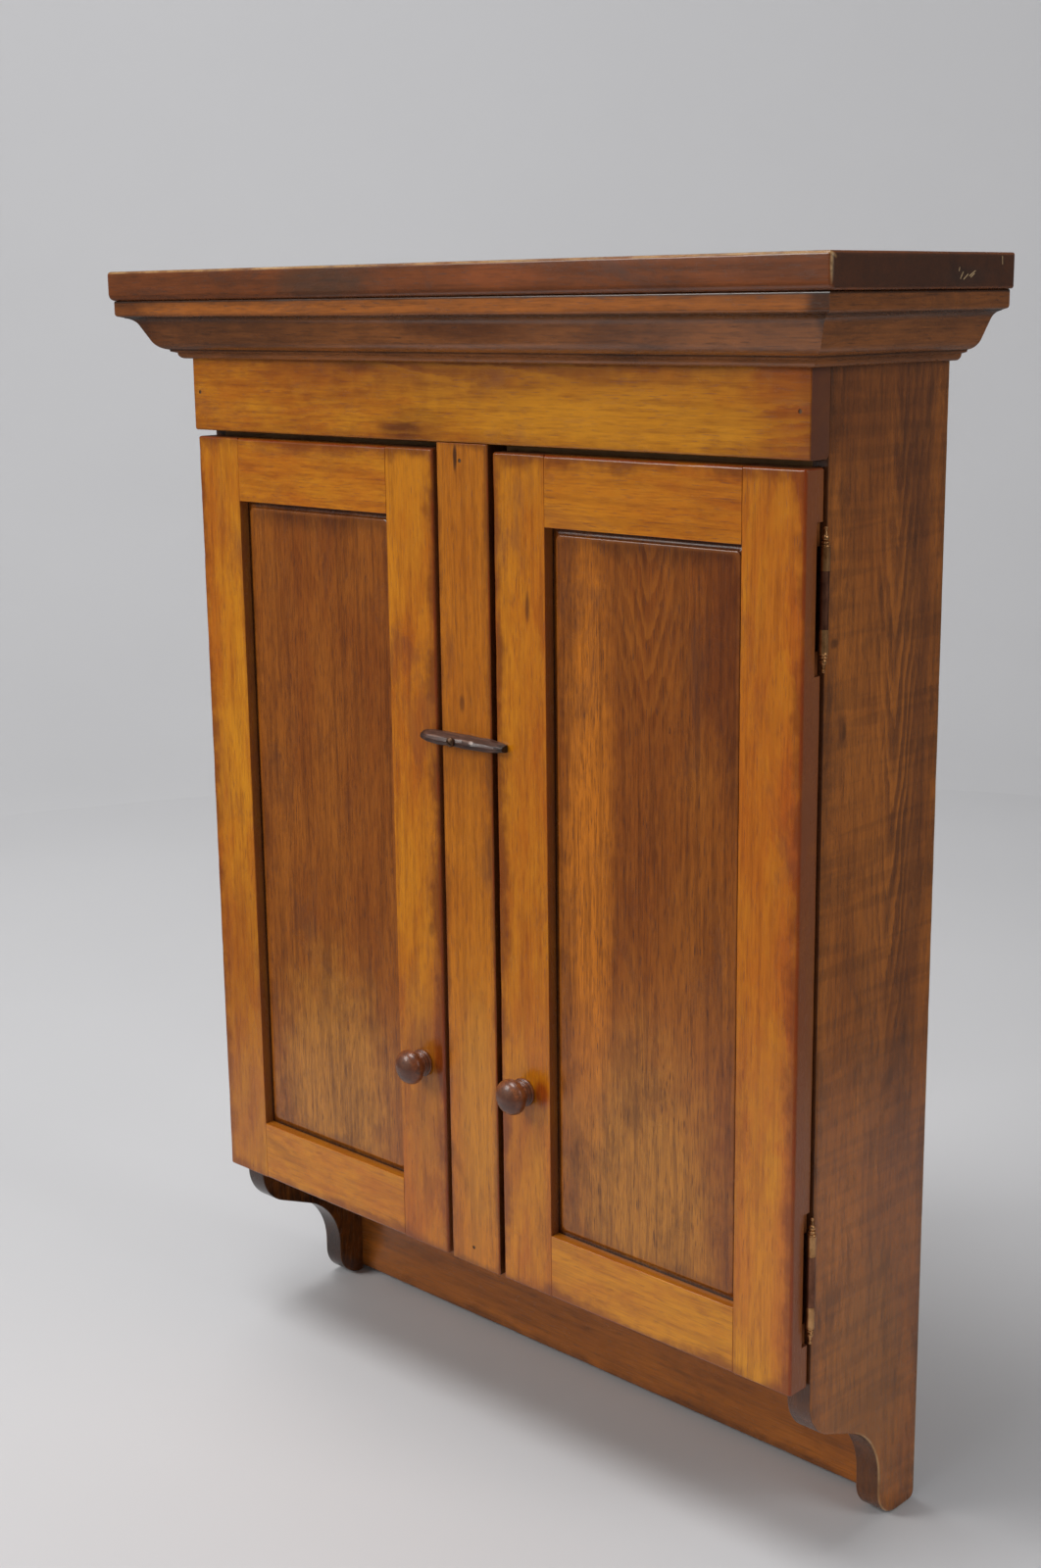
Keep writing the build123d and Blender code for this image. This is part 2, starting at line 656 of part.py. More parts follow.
def right_door_leaf(height):
    """Leaf with the middle knuckle."""
    low, high = hinge_ends(height)
    levels = (low + KNUCKLE_L + 0.1, high - KNUCKLE_L - 0.1)
    leaf = block((LEAF_INNER_X, LEAF_FREE_X), DOOR_LEAF_Y, (low, high))
    leaf += block((LEAF_FREE_X - OVERCUT, HINGE_X), DOOR_LEAF_Y, levels)
    leaf += barrel_rod(*levels, BARREL_R)
    leaf -= barrel_rod(low, high, PIN_R + RUNNING)
    return (leaf - joined(hinge_sinks("door", height))).solid()


def finial_outline(bottom):
    """Half outline of a finial on its shank, from the barrel's end outward, as (radius, height)."""
    ball, centre, below = 1.4, 13.0, 1.2
    neck = ((ball**2 - below**2) ** 0.5, centre - below)
    return [
        Line((0, bottom), (PIN_R, bottom)),
        Line((PIN_R, bottom), (PIN_R, 0.1)),
        Line((PIN_R, 0.1), (2.9, 0.1)),
        ThreePointArc((2.9, 0.1), (3.2, 0.9), (2.9, 1.7)),
        Line((2.9, 1.7), (2.1, 2.0)),
        Line((2.1, 2.0), (2.1, 2.6)),
        ThreePointArc((2.1, 2.6), (2.8, 3.4), (2.1, 4.2)),
        Line((2.1, 4.2), (1.5, 4.6)),
        ThreePointArc((1.5, 4.6), (2.4, 6.4), (1.3, 8.6)),
        Line((1.3, 8.6), neck),
        ThreePointArc(neck, (ball, centre), (0, centre + ball)),
        Line((0, centre + ball), (0, bottom)),
    ]


def right_pin(height):
    """Hinge pin with its turned upper finial."""
    top = hinge_ends(height)[1]
    return turned(finial_outline(3.0 - HINGE_L), (HINGE_X, HINGE_Y, top), UPWARD)


def right_lower_finial(height):
    """Turned plug that closes the lower end of the barrel."""
    low = hinge_ends(height)[0]
    return turned(finial_outline(-2.5), (HINGE_X, HINGE_Y, low), DOWNWARD)


def hinge_screw_places(height):
    """The (x, z) of the three screws in one leaf."""
    middle = DOOR_BOTTOM + height
    x = (LEAF_INNER_X + HINGE_X - BARREL_R) / 2
    return [(x + 2.5, middle - 25), (x - 2.5, middle), (x + 2.5, middle + 25)]


def leaf_face(leaf):
    """The y of a leaf's outer face, and the way its screws' heads look."""
    return (SIDE_LEAF_Y[0], -1) if leaf == "side" else (DOOR_LEAF_Y[1], 1)


def countersink(x, y, z, outward, radius, depth):
    """The cone of a countersunk head whose flat top is at y."""
    cone = Cone(radius, radius - depth, depth)
    tilt = Rot(-90, 0, 0) if outward > 0 else Rot(90, 0, 0)
    return Pos(x, y - outward * depth / 2, z) * tilt * cone


def hinge_sinks(leaf, height):
    """Countersunk holes through one leaf."""
    y, outward = leaf_face(leaf)
    holes = []
    for x, z in hinge_screw_places(height):
        holes.append(countersink(x, y, z, outward, SINK_R, SINK_H))
        holes.append(rod((x, y, z), (x, y - outward * 2, z), HINGE_SCREW_R + CLOSE_FIT))
    return holes


def hinge_pilots(leaf):
    """Pilot holes in the wood behind one kind of leaf."""
    y, outward = leaf_face(leaf)
    start, end = y - outward * 0.5, y - outward * (HINGE_SCREW_L + 0.5)
    places = [place for height in HINGE_HEIGHTS for place in hinge_screw_places(height)]
    return [rod((x, start, z), (x, end, z), HINGE_SCREW_R + CLOSE_FIT) for x, z in places]


def hinge_screw(leaf, x, z, turn):
    """Slotted countersunk wood screw in a hinge leaf, its slot turned by some degrees."""
    y, outward = leaf_face(leaf)
    top = y - outward * 0.05
    slack = 0.07
    head = countersink(x, top, z, outward, SINK_R - slack, SINK_H - slack)
    shank = rod((x, top - outward * 0.9, z), (x, y - outward * HINGE_SCREW_L, z), HINGE_SCREW_R)
    slot = block((-3, 3), (-SLOT_HALF_W, SLOT_HALF_W), (-0.25, 0.25))
    return (head + shank - Pos(x, top, z) * Rot(0, turn, 0) * slot).solid()


def right_hinge_screws(leaf):
    """The screws of both hinges in one kind of leaf."""
    places = [place for height in HINGE_HEIGHTS for place in hinge_screw_places(height)]
    return [hinge_screw(leaf, x, z, 20 + 47 * index) for index, (x, z) in enumerate(places)]


# ---- every node ------------------------------------------------------------
def carcass_nodes():
    """Boards of the carcass."""
    nodes = {
        "top_board": top_board(),
        "bottom_board": floor_board(),
        "lower_shelf": shelf(SHELF_TOPS[0]),
        "upper_shelf": shelf(SHELF_TOPS[1]),
        "hanging_rail": hanging_rail(),
        "front_rail": front_rail(),
        "apron": apron(),
        "frieze": frieze(),
        "centre_stile": centre_stile(),
        "cornice_front": cornice_front(),
    }
    nodes |= both_sides("side", right_side())
    nodes |= both_sides("lower_cleat", right_cleat(SHELF_TOPS[0]))
    nodes |= both_sides("upper_cleat", right_cleat(SHELF_TOPS[1]))
    nodes |= both_sides("cornice_return", cornice_right())
    nodes |= {f"back_board_{index + 1}": back_board(index) for index in range(BACK_BOARDS)}
    return nodes


def door_nodes():
    """The pieces of both doors, their knobs and the turn button."""
    nodes = both_sides("door_hinge_stile", hinge_stile())
    nodes |= both_sides("door_top_rail", rail(bottom=False))
    nodes |= both_sides("door_bottom_rail", rail(bottom=True))
    nodes |= both_sides("door_panel", panel())
    for side, height in KNOB_HEIGHTS.items():
        knob_z = DOOR_BOTTOM + height
        pieces = {"door_lock_stile": lock_stile(knob_z), "knob": knob(knob_z)}
        for name, part in pieces.items():
            nodes[f"{side}_{name}"] = part if side == "right" else mirrored(part)
    nodes |= {"turn_button": turn_button(), "turn_button_screw": turn_button_screw()}
    return nodes


def hinge_nodes():
    """Hinge leaves, pins, finials and screws."""
    nodes = {}
    finials = []
    for name, height in zip(("lower", "upper"), HINGE_HEIGHTS):
        nodes |= both_sides(f"{name}_hinge_side_leaf", right_side_leaf(height))
        nodes |= both_sides(f"{name}_hinge_door_leaf", right_door_leaf(height))
        nodes |= both_sides(f"{name}_hinge_pin", right_pin(height))
        finials.append(right_lower_finial(height))
    nodes["hinge_end_finials"] = joined(finials + [mirrored(part) for part in finials])
    for leaf in ("side", "door"):
        nodes |= both_sides(f"{leaf}_leaf_screws", joined(right_hinge_screws(leaf)))
    return nodes


def fastener_nodes():
    """Nails and screws of the carcass, one node for each kind."""
    pins = [nail(point, outward, CORNICE_PIN_L) for point, outward in cornice_pins()]
    return {
        "frieze_nails": joined([nail(point, ROOMWARD) for point in frieze_nail_points()]),
        "stile_nails": joined([nail(point, ROOMWARD) for point in stile_nail_points()]),
        "cornice_pins": joined(pins),
        "top_nails": joined([nail(point, UPWARD) for point in top_nail_points()]),
        "back_nails": joined([nail(point, WALLWARD) for point in back_nail_points()]),
        "cleat_screws": joined([cleat_screw(*point) for point in cleat_screw_points()]),
    }


def main():
    """Write one file for each node."""
    os.makedirs("parts", exist_ok=True)
    nodes = carcass_nodes() | door_nodes() | hinge_nodes() | fastener_nodes()
    for name, part in nodes.items():
        export_step(part, f"parts/{name}.step")


main()
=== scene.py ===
import json
import math

import bmesh
import bpy
from mathutils import Matrix, Vector, noise


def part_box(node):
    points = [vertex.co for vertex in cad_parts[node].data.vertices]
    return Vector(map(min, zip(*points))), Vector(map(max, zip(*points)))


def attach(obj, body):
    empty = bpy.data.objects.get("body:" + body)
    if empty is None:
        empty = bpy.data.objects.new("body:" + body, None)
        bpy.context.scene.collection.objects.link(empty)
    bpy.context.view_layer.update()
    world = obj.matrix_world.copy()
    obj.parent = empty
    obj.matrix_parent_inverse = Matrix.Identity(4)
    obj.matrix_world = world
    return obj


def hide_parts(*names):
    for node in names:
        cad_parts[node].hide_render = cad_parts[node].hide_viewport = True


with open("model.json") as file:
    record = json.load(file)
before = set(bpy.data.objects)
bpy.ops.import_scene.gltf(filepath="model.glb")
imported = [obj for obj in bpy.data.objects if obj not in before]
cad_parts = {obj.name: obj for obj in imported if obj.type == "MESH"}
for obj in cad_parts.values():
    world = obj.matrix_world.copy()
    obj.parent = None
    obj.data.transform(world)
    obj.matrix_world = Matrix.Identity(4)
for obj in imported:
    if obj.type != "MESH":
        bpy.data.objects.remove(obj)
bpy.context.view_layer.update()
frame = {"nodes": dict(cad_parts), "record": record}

# Wall cupboard with two panelled doors. Everything is in metres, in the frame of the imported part:
# x runs across the front, y = 0 is the wall side and -y is towards the room, z is up.
MM = 0.001
X, Y, Z = 0, 1, 2
ROOMWARD = Vector((0, -1, 0))

# ---- levels read from the frame ---------------------------------------------
FRIEZE_LOW, FRIEZE_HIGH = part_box("frieze")
HALF_W = FRIEZE_HIGH.x
FRONT_Y = FRIEZE_LOW.y
CORNICE_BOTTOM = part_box("cornice_front")[0].z
CARCASS_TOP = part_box("cornice_front")[1].z
FLOOR_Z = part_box("right_side")[0].z
DOOR_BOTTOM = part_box("right_door_bottom_rail")[0].z

# ---- how boards are made -----------------------------------------------------
ARC_STEPS = 6
END_STEPS = 4
NEAR = 4 * MM
STATION = 7 * MM
FACE_PITCH = 18 * MM
SURFACE_WAVE = 0.09 * MM
ARRIS_WEAR = 0.45 * MM
SAME_POINT = 0.001 * MM
KNOB_SIDES = 96
MOULDING_ROWS = 96

# ---- camera ------------------------------------------------------------------
CAMERA_PLACE = (1.1695, -1.3244, 0.0315)
CAMERA_AZIMUTH = 43.814
CAMERA_DROP = 12.915
CAMERA_ROLL = -0.731
CAMERA_LENS = 48.46


# ---- meshes ------------------------------------------------------------------
def placed(name, data):
    """A new object in the scene."""
    obj = bpy.data.objects.new(name, data)
    bpy.context.scene.collection.objects.link(obj)
    return obj


def mesh_object(name, vertices, faces, wear_and_shade=None):
    """A smooth-shaded mesh object, with an optional value for each vertex that says how rubbed it is; below
    zero it paints grime and shade into hollows and joints.
    """
    mesh = bpy.data.meshes.new(name)
    mesh.from_pydata([tuple(v) for v in vertices], [], faces)
    shell = bmesh.new()
    shell.from_mesh(mesh)
    bmesh.ops.recalc_face_normals(shell, faces=shell.faces)
    shell.to_mesh(mesh)
    shell.free()
    mesh.shade_smooth()
    if wear_and_shade is not None:
        values = mesh.attributes.new("wear_and_shade", "FLOAT", "POINT")
        values.data.foreach_set("value", wear_and_shade)
    return placed(name, mesh)


def skin(vertices, around, closed=True):
    """Faces over rows of vertices that each go round a shape; closed puts a cap on both its ends."""
    last = len(vertices) - around
    faces = []
    for lower in range(0, last, around):
        upper = lower + around
        for column in range(around):
            beside = (column + 1) % around
            faces.append((lower + column, lower + beside, upper + beside, upper + column))
    if closed:
        faces += [tuple(range(around)), tuple(range(last, last + around))]
    return faces


def even_normals(obj):
    """Lets large flat faces keep flat shading beside small rounded ones."""
    modifier = obj.modifiers.new("even_normals", "WEIGHTED_NORMAL")
    modifier.keep_sharp = True
    modifier.weight = 80
    return obj


def bake_modifiers(obj):
    """Applies every modifier of an object."""
    evaluated = obj.evaluated_get(bpy.context.evaluated_depsgraph_get())
    mesh = bpy.data.meshes.new_from_object(evaluated)
    obj.modifiers.clear()
    obj.data = mesh
    return obj


def ease(obj, width, angle):
    """Adds a small bevel to the edges that turn by more than this many degrees."""
    bevel = obj.modifiers.new("ease", "BEVEL")
    bevel.width = width
    bevel.segments = 2
    bevel.limit_method = "ANGLE"
    bevel.angle_limit = math.radians(angle)
    return even_normals(obj)


def span(start, end, pitch):
    """Places from start to end, evenly spaced, no further apart than pitch."""
    count = max(1, math.ceil((end - start) / pitch))
    return [start + (end - start) * index / count for index in range(count + 1)]


def ripple(point, size, seed=0.0):
    """A smooth random value between about -1 and 1 that changes over this size."""
    return noise.noise(Vector(point) / size + Vector((seed, 3.1 * seed, 7.7 * seed)))


def quarter_round(steps):
    """A rounded edge of radius 1 as rows of (distance back, distance in, wear)."""
    turns = [math.pi / 2 * step / steps for step in range(steps + 1)]
    return [(1 - math.cos(turn), 1 - math.sin(turn), math.sin(2 * turn)) for turn in turns]


def rounded_section(u, v, radii, rub):
    """A rectangle with four rounded corners, going round: rows of (u, v, normal u, normal v, wear).

    rub says how much of the finish is rubbed off each corner.
    """
    corners = [Vector(c) for c in ((u[0], v[0]), (u[1], v[0]), (u[1], v[1]), (u[0], v[1]))]
    rows = []
    for index, corner in enumerate(corners):
        following = corners[(index + 1) % 4]
        before = (corners[index - 1] - corner).normalized()
        after = (following - corner).normalized()
        radius = radii[index]
        centre = corner + (before + after) * radius
        for step in range(ARC_STEPS + 1):
            turn = math.pi / 2 * step / ARC_STEPS
            out = -after * math.cos(turn) - before * math.sin(turn)
            rows.append((*(centre + out * radius), *out, rub[index] * math.sin(2 * turn)))
        start, end = corner + after * radius, following - after * radii[(index + 1) % 4]
        length = (end - start).length
        if length > 3 * NEAR:
            for place in span(NEAR, length - NEAR, FACE_PITCH):
                rows.append((*(start + after * place), *(-before), 0.0))
    return rows


def stations(low, high, radius):
    """Places along a board with rounded ends, as (position, distance its section is drawn in, wear)."""
    rounds = quarter_round(END_STEPS)
    start = [(low + radius * back, radius * down, worn) for back, down, worn in rounds]
    end = [(high - radius * back, radius * down, worn) for back, down, worn in reversed(rounds)]
    middle = [(place, 0.0, 0.0) for place in span(low + radius + NEAR, high - radius - NEAR, STATION)]
    lid = radius + NEAR / 2
    return [(low, lid, 0.0)] + start + middle + end + [(high, lid, 0.0)]


def board(name, low, high, along, radii, end_radius, seed, rub, end_rub):
    """A board between two corners with worn, rounded arrises and a slightly wavy hand-planed surface.

    radii belong to the corners of its section, in the order low-low, high-low, high-high, low-high of
    the two axes that follow its length. All radii are in millimetres.
    """
    u_axis, v_axis = (along + 1) % 3, (along + 2) % 3
    u, v = (low[u_axis], high[u_axis]), (low[v_axis], high[v_axis])
    middle = (sum(u) / 2, sum(v) / 2)
    half = ((u[1] - u[0]) / 2, (v[1] - v[0]) / 2)
    section = rounded_section(u, v, [radius * MM for radius in radii], rub)
    end_radius *= MM
    vertices, wear_and_shade = [], []
    for place, drawn_in, end_worn in stations(low[along], high[along], end_radius):
        for pu, pv, nu, nv, worn in section:
            worn = max(worn, end_rub * end_worn) if drawn_in < end_radius + MM * 0.01 else 0.0
            point = Vector((0, 0, 0))
            point[along] = place
            point[u_axis] = middle[0] + (pu - middle[0]) * (1 - drawn_in / half[0])
            point[v_axis] = middle[1] + (pv - middle[1]) * (1 - drawn_in / half[1])
            dent = max(0.0, ripple(point, 28 * MM, seed + 5))
            dent += 1.4 * max(0.0, ripple(point, 9 * MM, seed + 9) - 0.3)
            push = SURFACE_WAVE * ripple(point, 45 * MM, seed) - worn * ARRIS_WEAR * dent
            point[u_axis] += nu * push
            point[v_axis] += nv * push
            vertices.append(point)
            wear_and_shade.append(worn)
    return even_normals(mesh_object(name, vertices, skin(vertices, len(section)), wear_and_shade))


def lathe(name, profile, origin, outward, sides):
    """A turned solid from (radius, height) points, height running outward from the origin."""
    out = Vector(outward).normalized()
    across = Vector((0, 0, 1)) if abs(out.z) < 0.5 else Vector((1, 0, 0))
    side = out.cross(across)
    turns = [math.tau * step / sides for step in range(sides)]
    vertices = [Vector(origin) + out * height + (across * math.cos(turn) + side * math.sin(turn)) * radius
                for radius, height in profile for turn in turns]
    return mesh_object(name, vertices, skin(vertices, sides))


def arc(centre, radii, start, end, steps):
    """Points of an elliptical arc between two angles in degrees."""
    angles = [math.radians(start + (end - start) * step / steps) for step in range(steps + 1)]
    return [(centre[0] + radii[0] * math.cos(a), centre[1] + radii[1] * math.sin(a)) for a in angles]


def tangent_arc(start, end, tangent, steps):
    """Points of the circular arc that leaves start along tangent and ends at end, and its last tangent."""
    start, end, tangent = Vector(start), Vector(end), Vector(tangent).normalized()
    chord = end - start
    normal = Vector((-tangent.y, tangent.x))
    centre = start + normal * (chord.length_squared / (2 * chord.dot(normal)))
    sweep = 2 * math.atan2(chord.dot(normal), chord.dot(tangent))
    turns = [Matrix.Rotation(sweep * step / steps, 2) for step in range(steps + 1)]
    return [centre + turn @ (start - centre) for turn in turns], turns[-1] @ tangent


def welded(node):
    """The mesh of a CAD node with its faces joined up."""
    mesh = bmesh.new()
    mesh.from_mesh(frame["nodes"][node].data)
    bmesh.ops.remove_doubles(mesh, verts=mesh.verts, dist=SAME_POINT)
    return mesh


def islands(node):
    """The low and high corner of each separate solid in a CAD node."""
    mesh = welded(node)
    todo, boxes = set(mesh.verts), []
    while todo:
        stack, seen = [todo.pop()], []
        while stack:
            vertex = stack.pop()
            seen.append(vertex.co.copy())
            for edge in vertex.link_edges:
                other = edge.other_vert(vertex)
                if other in todo:
                    todo.remove(other)
                    stack.append(other)
        low = Vector(min(point[axis] for point in seen) for axis in range(3))
        high = Vector(max(point[axis] for point in seen) for axis in range(3))
        boxes.append((low, high))
    mesh.free()
    return sorted(boxes, key=lambda box: tuple(round(value, 5) for value in box[0]))


def eased_copy(name, node, width):
    """A copy of a CAD node with its sharp edges eased by this many millimetres."""
    mesh = welded(node)
    bmesh.ops.dissolve_limit(mesh, angle_limit=math.radians(0.5), verts=mesh.verts, edges=mesh.edges)
    data = bpy.data.meshes.new(name)
    mesh.to_mesh(data)
    mesh.free()
    data.shade_smooth()
    return bake_modifiers(ease(placed(name, data), width * MM, 40))


# ---- materials ---------------------------------------------------------------
class Value:
    """What one output of a node tree gives; its sums, differences and products add nodes."""

    def __init__(self, shader, socket):
        self.shader, self.socket = shader, socket

    def __add__(self, other):
        return self.shader.math("ADD", self, other)

    def __sub__(self, other):
        return self.shader.math("SUBTRACT", self, other)

    def __mul__(self, other):
        return self.shader.math("MULTIPLY", self, other)

    def ramp(self, low, high, start=0.0, end=1.0):
        """Maps low..high smoothly to start..end."""
        made = self.shader.node("ShaderNodeMapRange", interpolation_type="SMOOTHSTEP")
        for socket, number in zip(made.inputs[:5], (self, low, high, start, end)):
            self.shader.put(socket, number)
        return Value(self.shader, made.outputs[0])


class Shader:
    """Builds the node tree of a new material a few nodes at a time."""

    def __init__(self, name):
        self.material = bpy.data.materials.new(name)
        self.material.use_nodes = True
        self.tree = self.material.node_tree
        self.tree.nodes.clear()
        self.principled = self.node("ShaderNodeBsdfPrincipled")
        output = self.node("ShaderNodeOutputMaterial")
        self.tree.links.new(self.principled.outputs[0], output.inputs[0])
        self.place = self.coordinates("Object")

    def node(self, kind, **settings):
        made = self.tree.nodes.new(kind)
        for key, value in settings.items():
            setattr(made, key, value)
        return made

    def put(self, socket, value):
        if isinstance(value, Value):
            self.tree.links.new(value.socket, socket)
        elif value is not None:
            socket.default_value = value

    def surface(self, **values):
        """Sets inputs of the Principled node, an underscore standing for a space."""
        for key, value in values.items():
            self.put(self.principled.inputs[key.replace("_", " ")], value)
        return self.material

    def coordinates(self, kind):
        return Value(self, self.node("ShaderNodeTexCoord").outputs[kind])

    def split(self, vector):
        """The three parts of a vector."""
        made = self.node("ShaderNodeSeparateXYZ")
        self.put(made.inputs[0], vector)
        return [Value(self, socket) for socket in made.outputs]

    def math(self, operation, first, second=None, clamp=False):
        made = self.node("ShaderNodeMath", operation=operation, use_clamp=clamp)
        self.put(made.inputs[0], first)
        self.put(made.inputs[1], second)
        return Value(self, made.outputs[0])

    def vector(self, operation, first, second=None):
        made = self.node("ShaderNodeVectorMath", operation=operation)
        self.put(made.inputs[0], first)
        self.put(made.inputs[1], second)
        return Value(self, made.outputs["Value" if operation in ("LENGTH", "DOT_PRODUCT") else 0])

    def noise(self, place, stretch, detail=2.0, rough=0.5, distortion=0.0):
        """Smooth noise whose features are 1/stretch metres in size along each axis."""
        made = self.node("ShaderNodeTexNoise")
        stretch = stretch if isinstance(stretch, tuple) else (stretch,) * 3
        self.put(made.inputs["Vector"], self.vector("MULTIPLY", place, stretch))
        made.inputs["Scale"].default_value = 1.0
        made.inputs["Detail"].default_value = detail
        made.inputs["Roughness"].default_value = rough
        made.inputs["Distortion"].default_value = distortion
        return Value(self, made.outputs["Fac"])

    def mix(self, first, second, share):
        made = self.node("ShaderNodeMix", data_type="RGBA", blend_type="MIX")
        self.put(made.inputs[0], share)
        self.put(made.inputs[6], first)
        self.put(made.inputs[7], second)
        return Value(self, made.outputs[2])

    def bump(self, height, distance, strength=1.0, normal=None):
        made = self.node("ShaderNodeBump")
        made.inputs["Strength"].default_value = strength
        made.inputs["Distance"].default_value = distance
        self.put(made.inputs["Height"], height)
        self.put(made.inputs["Normal"], normal)
        return Value(self, made.outputs[0])


def rgb(red, green, blue):
    """A colour from 0-255 display values."""
    def linear(value):
        value /= 255
        return value / 12.92 if value <= 0.04045 else ((value + 0.055) / 1.055) ** 2.4

    return (linear(red), linear(green), linear(blue), 1.0)


def patch(shader, centre, size, edge=0.35):
    """A soft-edged spot of the given half sizes, from 0 outside to 1 at its centre."""
    offset = shader.vector("DIVIDE", shader.vector("SUBTRACT", shader.place, centre), size)
    distance = shader.vector("LENGTH", offset) + (shader.noise(shader.place, 60) - 0.5) * 0.5
    return distance.ramp(edge, 1.0, 1.0, 0.0)


def stroke(shader, start, end, width):
    """A thin scratch between two points, 1 along its middle."""
    run = Vector(end) - Vector(start)
    offset = shader.vector("SUBTRACT", shader.place, start)
    share = shader.vector("DOT_PRODUCT", offset, tuple(run / run.length_squared))
    share = shader.math("MULTIPLY", share, 1.0, clamp=True)
    beside = shader.vector("SUBTRACT", offset, shader.vector("MULTIPLY", share, tuple(run)))
    distance = shader.vector("LENGTH", beside) * (shader.noise(shader.place, 700) + 0.5)
    return distance.ramp(0.3 * width, width, 1.0, 0.0)


def rim_shade(shader, raw, low, high, axes, width):
    """Darkening towards the four edges of a face, from 1 at an edge to 0 about this far in: dirt together
    with painted shade next to neighbouring parts.
    """
    reach = None
    for axis in axes:
        for away in (raw[axis] - low[axis], shader.math("SUBTRACT", high[axis], raw[axis])):
            reach = away if reach is None else shader.math("MINIMUM", reach, away)
    reach = reach + (shader.noise(shader.place, 17, 4.0, 0.7) - 0.5) * (3.2 * width)
    return reach.ramp(0.0, width, 1.0, 0.0)


def wood(name, along, tones, seed, across=X, heart=0.0, depth=0.03, taper=0.07, rings=110.0, flame=0.0,
         flame_at=None, flame_light=True, blotch=0.5, smudge=0.3, curl=0.0, fibre=0.5, gloss=0.2, coat=0.0,
         spots=(), scratches=(), rim=None, rim_share=0.5, face=None, face_dark=None, edge=None,
         edge_share=0.0):
    """Old varnished wood: growth rings, fibre, blotchy stain, smudges, pores, marks and rubbed arrises.

    tones are the (pale, middle, dark) of the stain. heart is where the tree's middle lies across the
    board and taper how fast its rings run out. spots hold (centre, half sizes, colour, share), and
    scratches (start, end, width, share). rim is the (low, high, width) of a face that darkens towards
    its edges with dirt and painted shade. face is the axis that the broad face looks along; the narrow
    faces get face_dark, a painted shade.
    """
    pale, middle, dark = tones
    shader = Shader(name)
    place = shader.place
    raw = shader.split(place)
    # the grain's own coordinates run along x, from a fresh piece of the tree
    joined = shader.node("ShaderNodeCombineXYZ")
    for slot in range(3):
        shader.put(joined.inputs[slot], raw[(along + slot) % 3])
    grain = Value(shader, joined.outputs[0])
    grain = shader.vector("ADD", grain, (seed * 3.7, seed * 1.3, seed * 2.1))
    # growth rings: cones round a heart line that runs along the board behind its face
    warp = shader.noise(grain, (5, 26, 26), 3.0, 0.6) - 0.5
    off = raw[across] - heart + warp * 0.03
    radius = shader.math("SQRT", off * off + depth * depth)
    jag = shader.noise(grain, (90, 330, 330), 2.0, 0.6)
    phase = shader.math("FRACT", (radius + raw[along] * taper) * rings + jag * 0.45)
    line = phase.ramp(0.3, 0.85) * phase.ramp(0.88, 1.0, 1.0, 0.0)
    presence = shader.noise(grain, (2.4, 14, 14)).ramp(0.4, 0.62)
    if flame_at:
        presence = shader.math("MAXIMUM", patch(shader, *flame_at, edge=0.2), presence * 0.25)
    # fibre, pores, stain and figure
    fine = shader.noise(grain, (42, 760, 760), 3.0, 0.65)
    broad = shader.noise(grain, (7, 210, 210), 3.0, 0.6)
    pores = shader.noise(grain, (75, 1050, 1050), 1.0).ramp(0.63, 0.72)
    stain = shader.noise(grain, (3.6, 14, 14), 3.0, 0.6)
    cloud = shader.noise(grain, (18, 42, 42), 6.0, 0.75)
    dirt = shader.noise(grain, (8, 22, 22), 6.0, 0.76, 0.6).ramp(0.5, 0.72)
    mottle = shader.noise(grain, (30, 110, 110), 6.0, 0.8)
    flecks = shader.noise(grain, (45, 210, 210), 3.0, 0.6).ramp(0.6, 0.7)
    tone = stain * 0.6 + cloud * 0.4
    colour = shader.mix(middle, pale, tone.ramp(0.5 - 0.1 / blotch, 0.5 + 0.1 / blotch))
    for centre, size, tint, share in spots:
        colour = shader.mix(colour, tint, patch(shader, centre, size) * share)
    colour = shader.mix(colour, pale, mottle.ramp(0.52, 0.66) * (0.35 * fibre))
    for shade in (mottle.ramp(0.48, 0.34) * (0.3 * fibre),
                  broad.ramp(0.42, 0.7) * (0.6 * fibre),
                  fine.ramp(0.42, 0.72) * (0.7 * fibre)):
        colour = shader.mix(colour, dark, shade)
    colour = shader.mix(colour, pale if flame_light else dark, line * presence * flame)
    if curl:
        waves = shader.noise(grain, (120, 9, 9), 2.0, 0.5, 0.4).ramp(0.45, 0.62)
        colour = shader.mix(colour, dark, waves * curl)
    for shade in (dirt * smudge, flecks * (0.4 * fibre), pores * (0.9 * fibre)):
        colour = shader.mix(colour, dark, shade)
    # darker towards the edges of the face: dirt and painted shade
    if rim:
        low, high, width = rim
        shade = rim_shade(shader, raw, low, high, (along, across), width)
        colour = shader.mix(colour, dark, shade * rim_share)
    # end grain drinks more stain
    facing = shader.split(shader.coordinates("Normal"))
    end = shader.math("ABSOLUTE", facing[along]).ramp(0.75, 0.97, 0.0, 0.65)
    colour = shader.mix(colour, dark, end)
    # painted shade: the narrow faces, in the gaps and turned from the light, are painted darker than the
    # broad face
    if face is not None:
        narrow = shader.math("ABSOLUTE", facing[face]).ramp(0.25, 0.62, 0.9, 0.0)
        narrow = narrow * cloud.ramp(0.3, 0.7, 1.0, 0.72)
        colour = shader.mix(colour, face_dark or PLUM, narrow)
    for start, stop, width, share in scratches:
        colour = shader.mix(colour, BARE, stroke(shader, start, stop, width) * share)
    # rubbed arrises, and grime with painted shade in hollows and joints
    attribute = Value(shader, shader.node("ShaderNodeAttribute", attribute_name="wear_and_shade").outputs["Fac"])
    if edge is not None:
        breakup = shader.noise(place, 45, 3.0, 0.6).ramp(0.36, 0.62, 0.25, 1.0)
        colour = shader.mix(colour, edge, attribute.ramp(0.15, 0.9) * breakup * edge_share)
    colour = shader.mix(colour, GRIME_AND_SHADE, attribute.ramp(-0.15, -1.0, 0.0, 0.85))
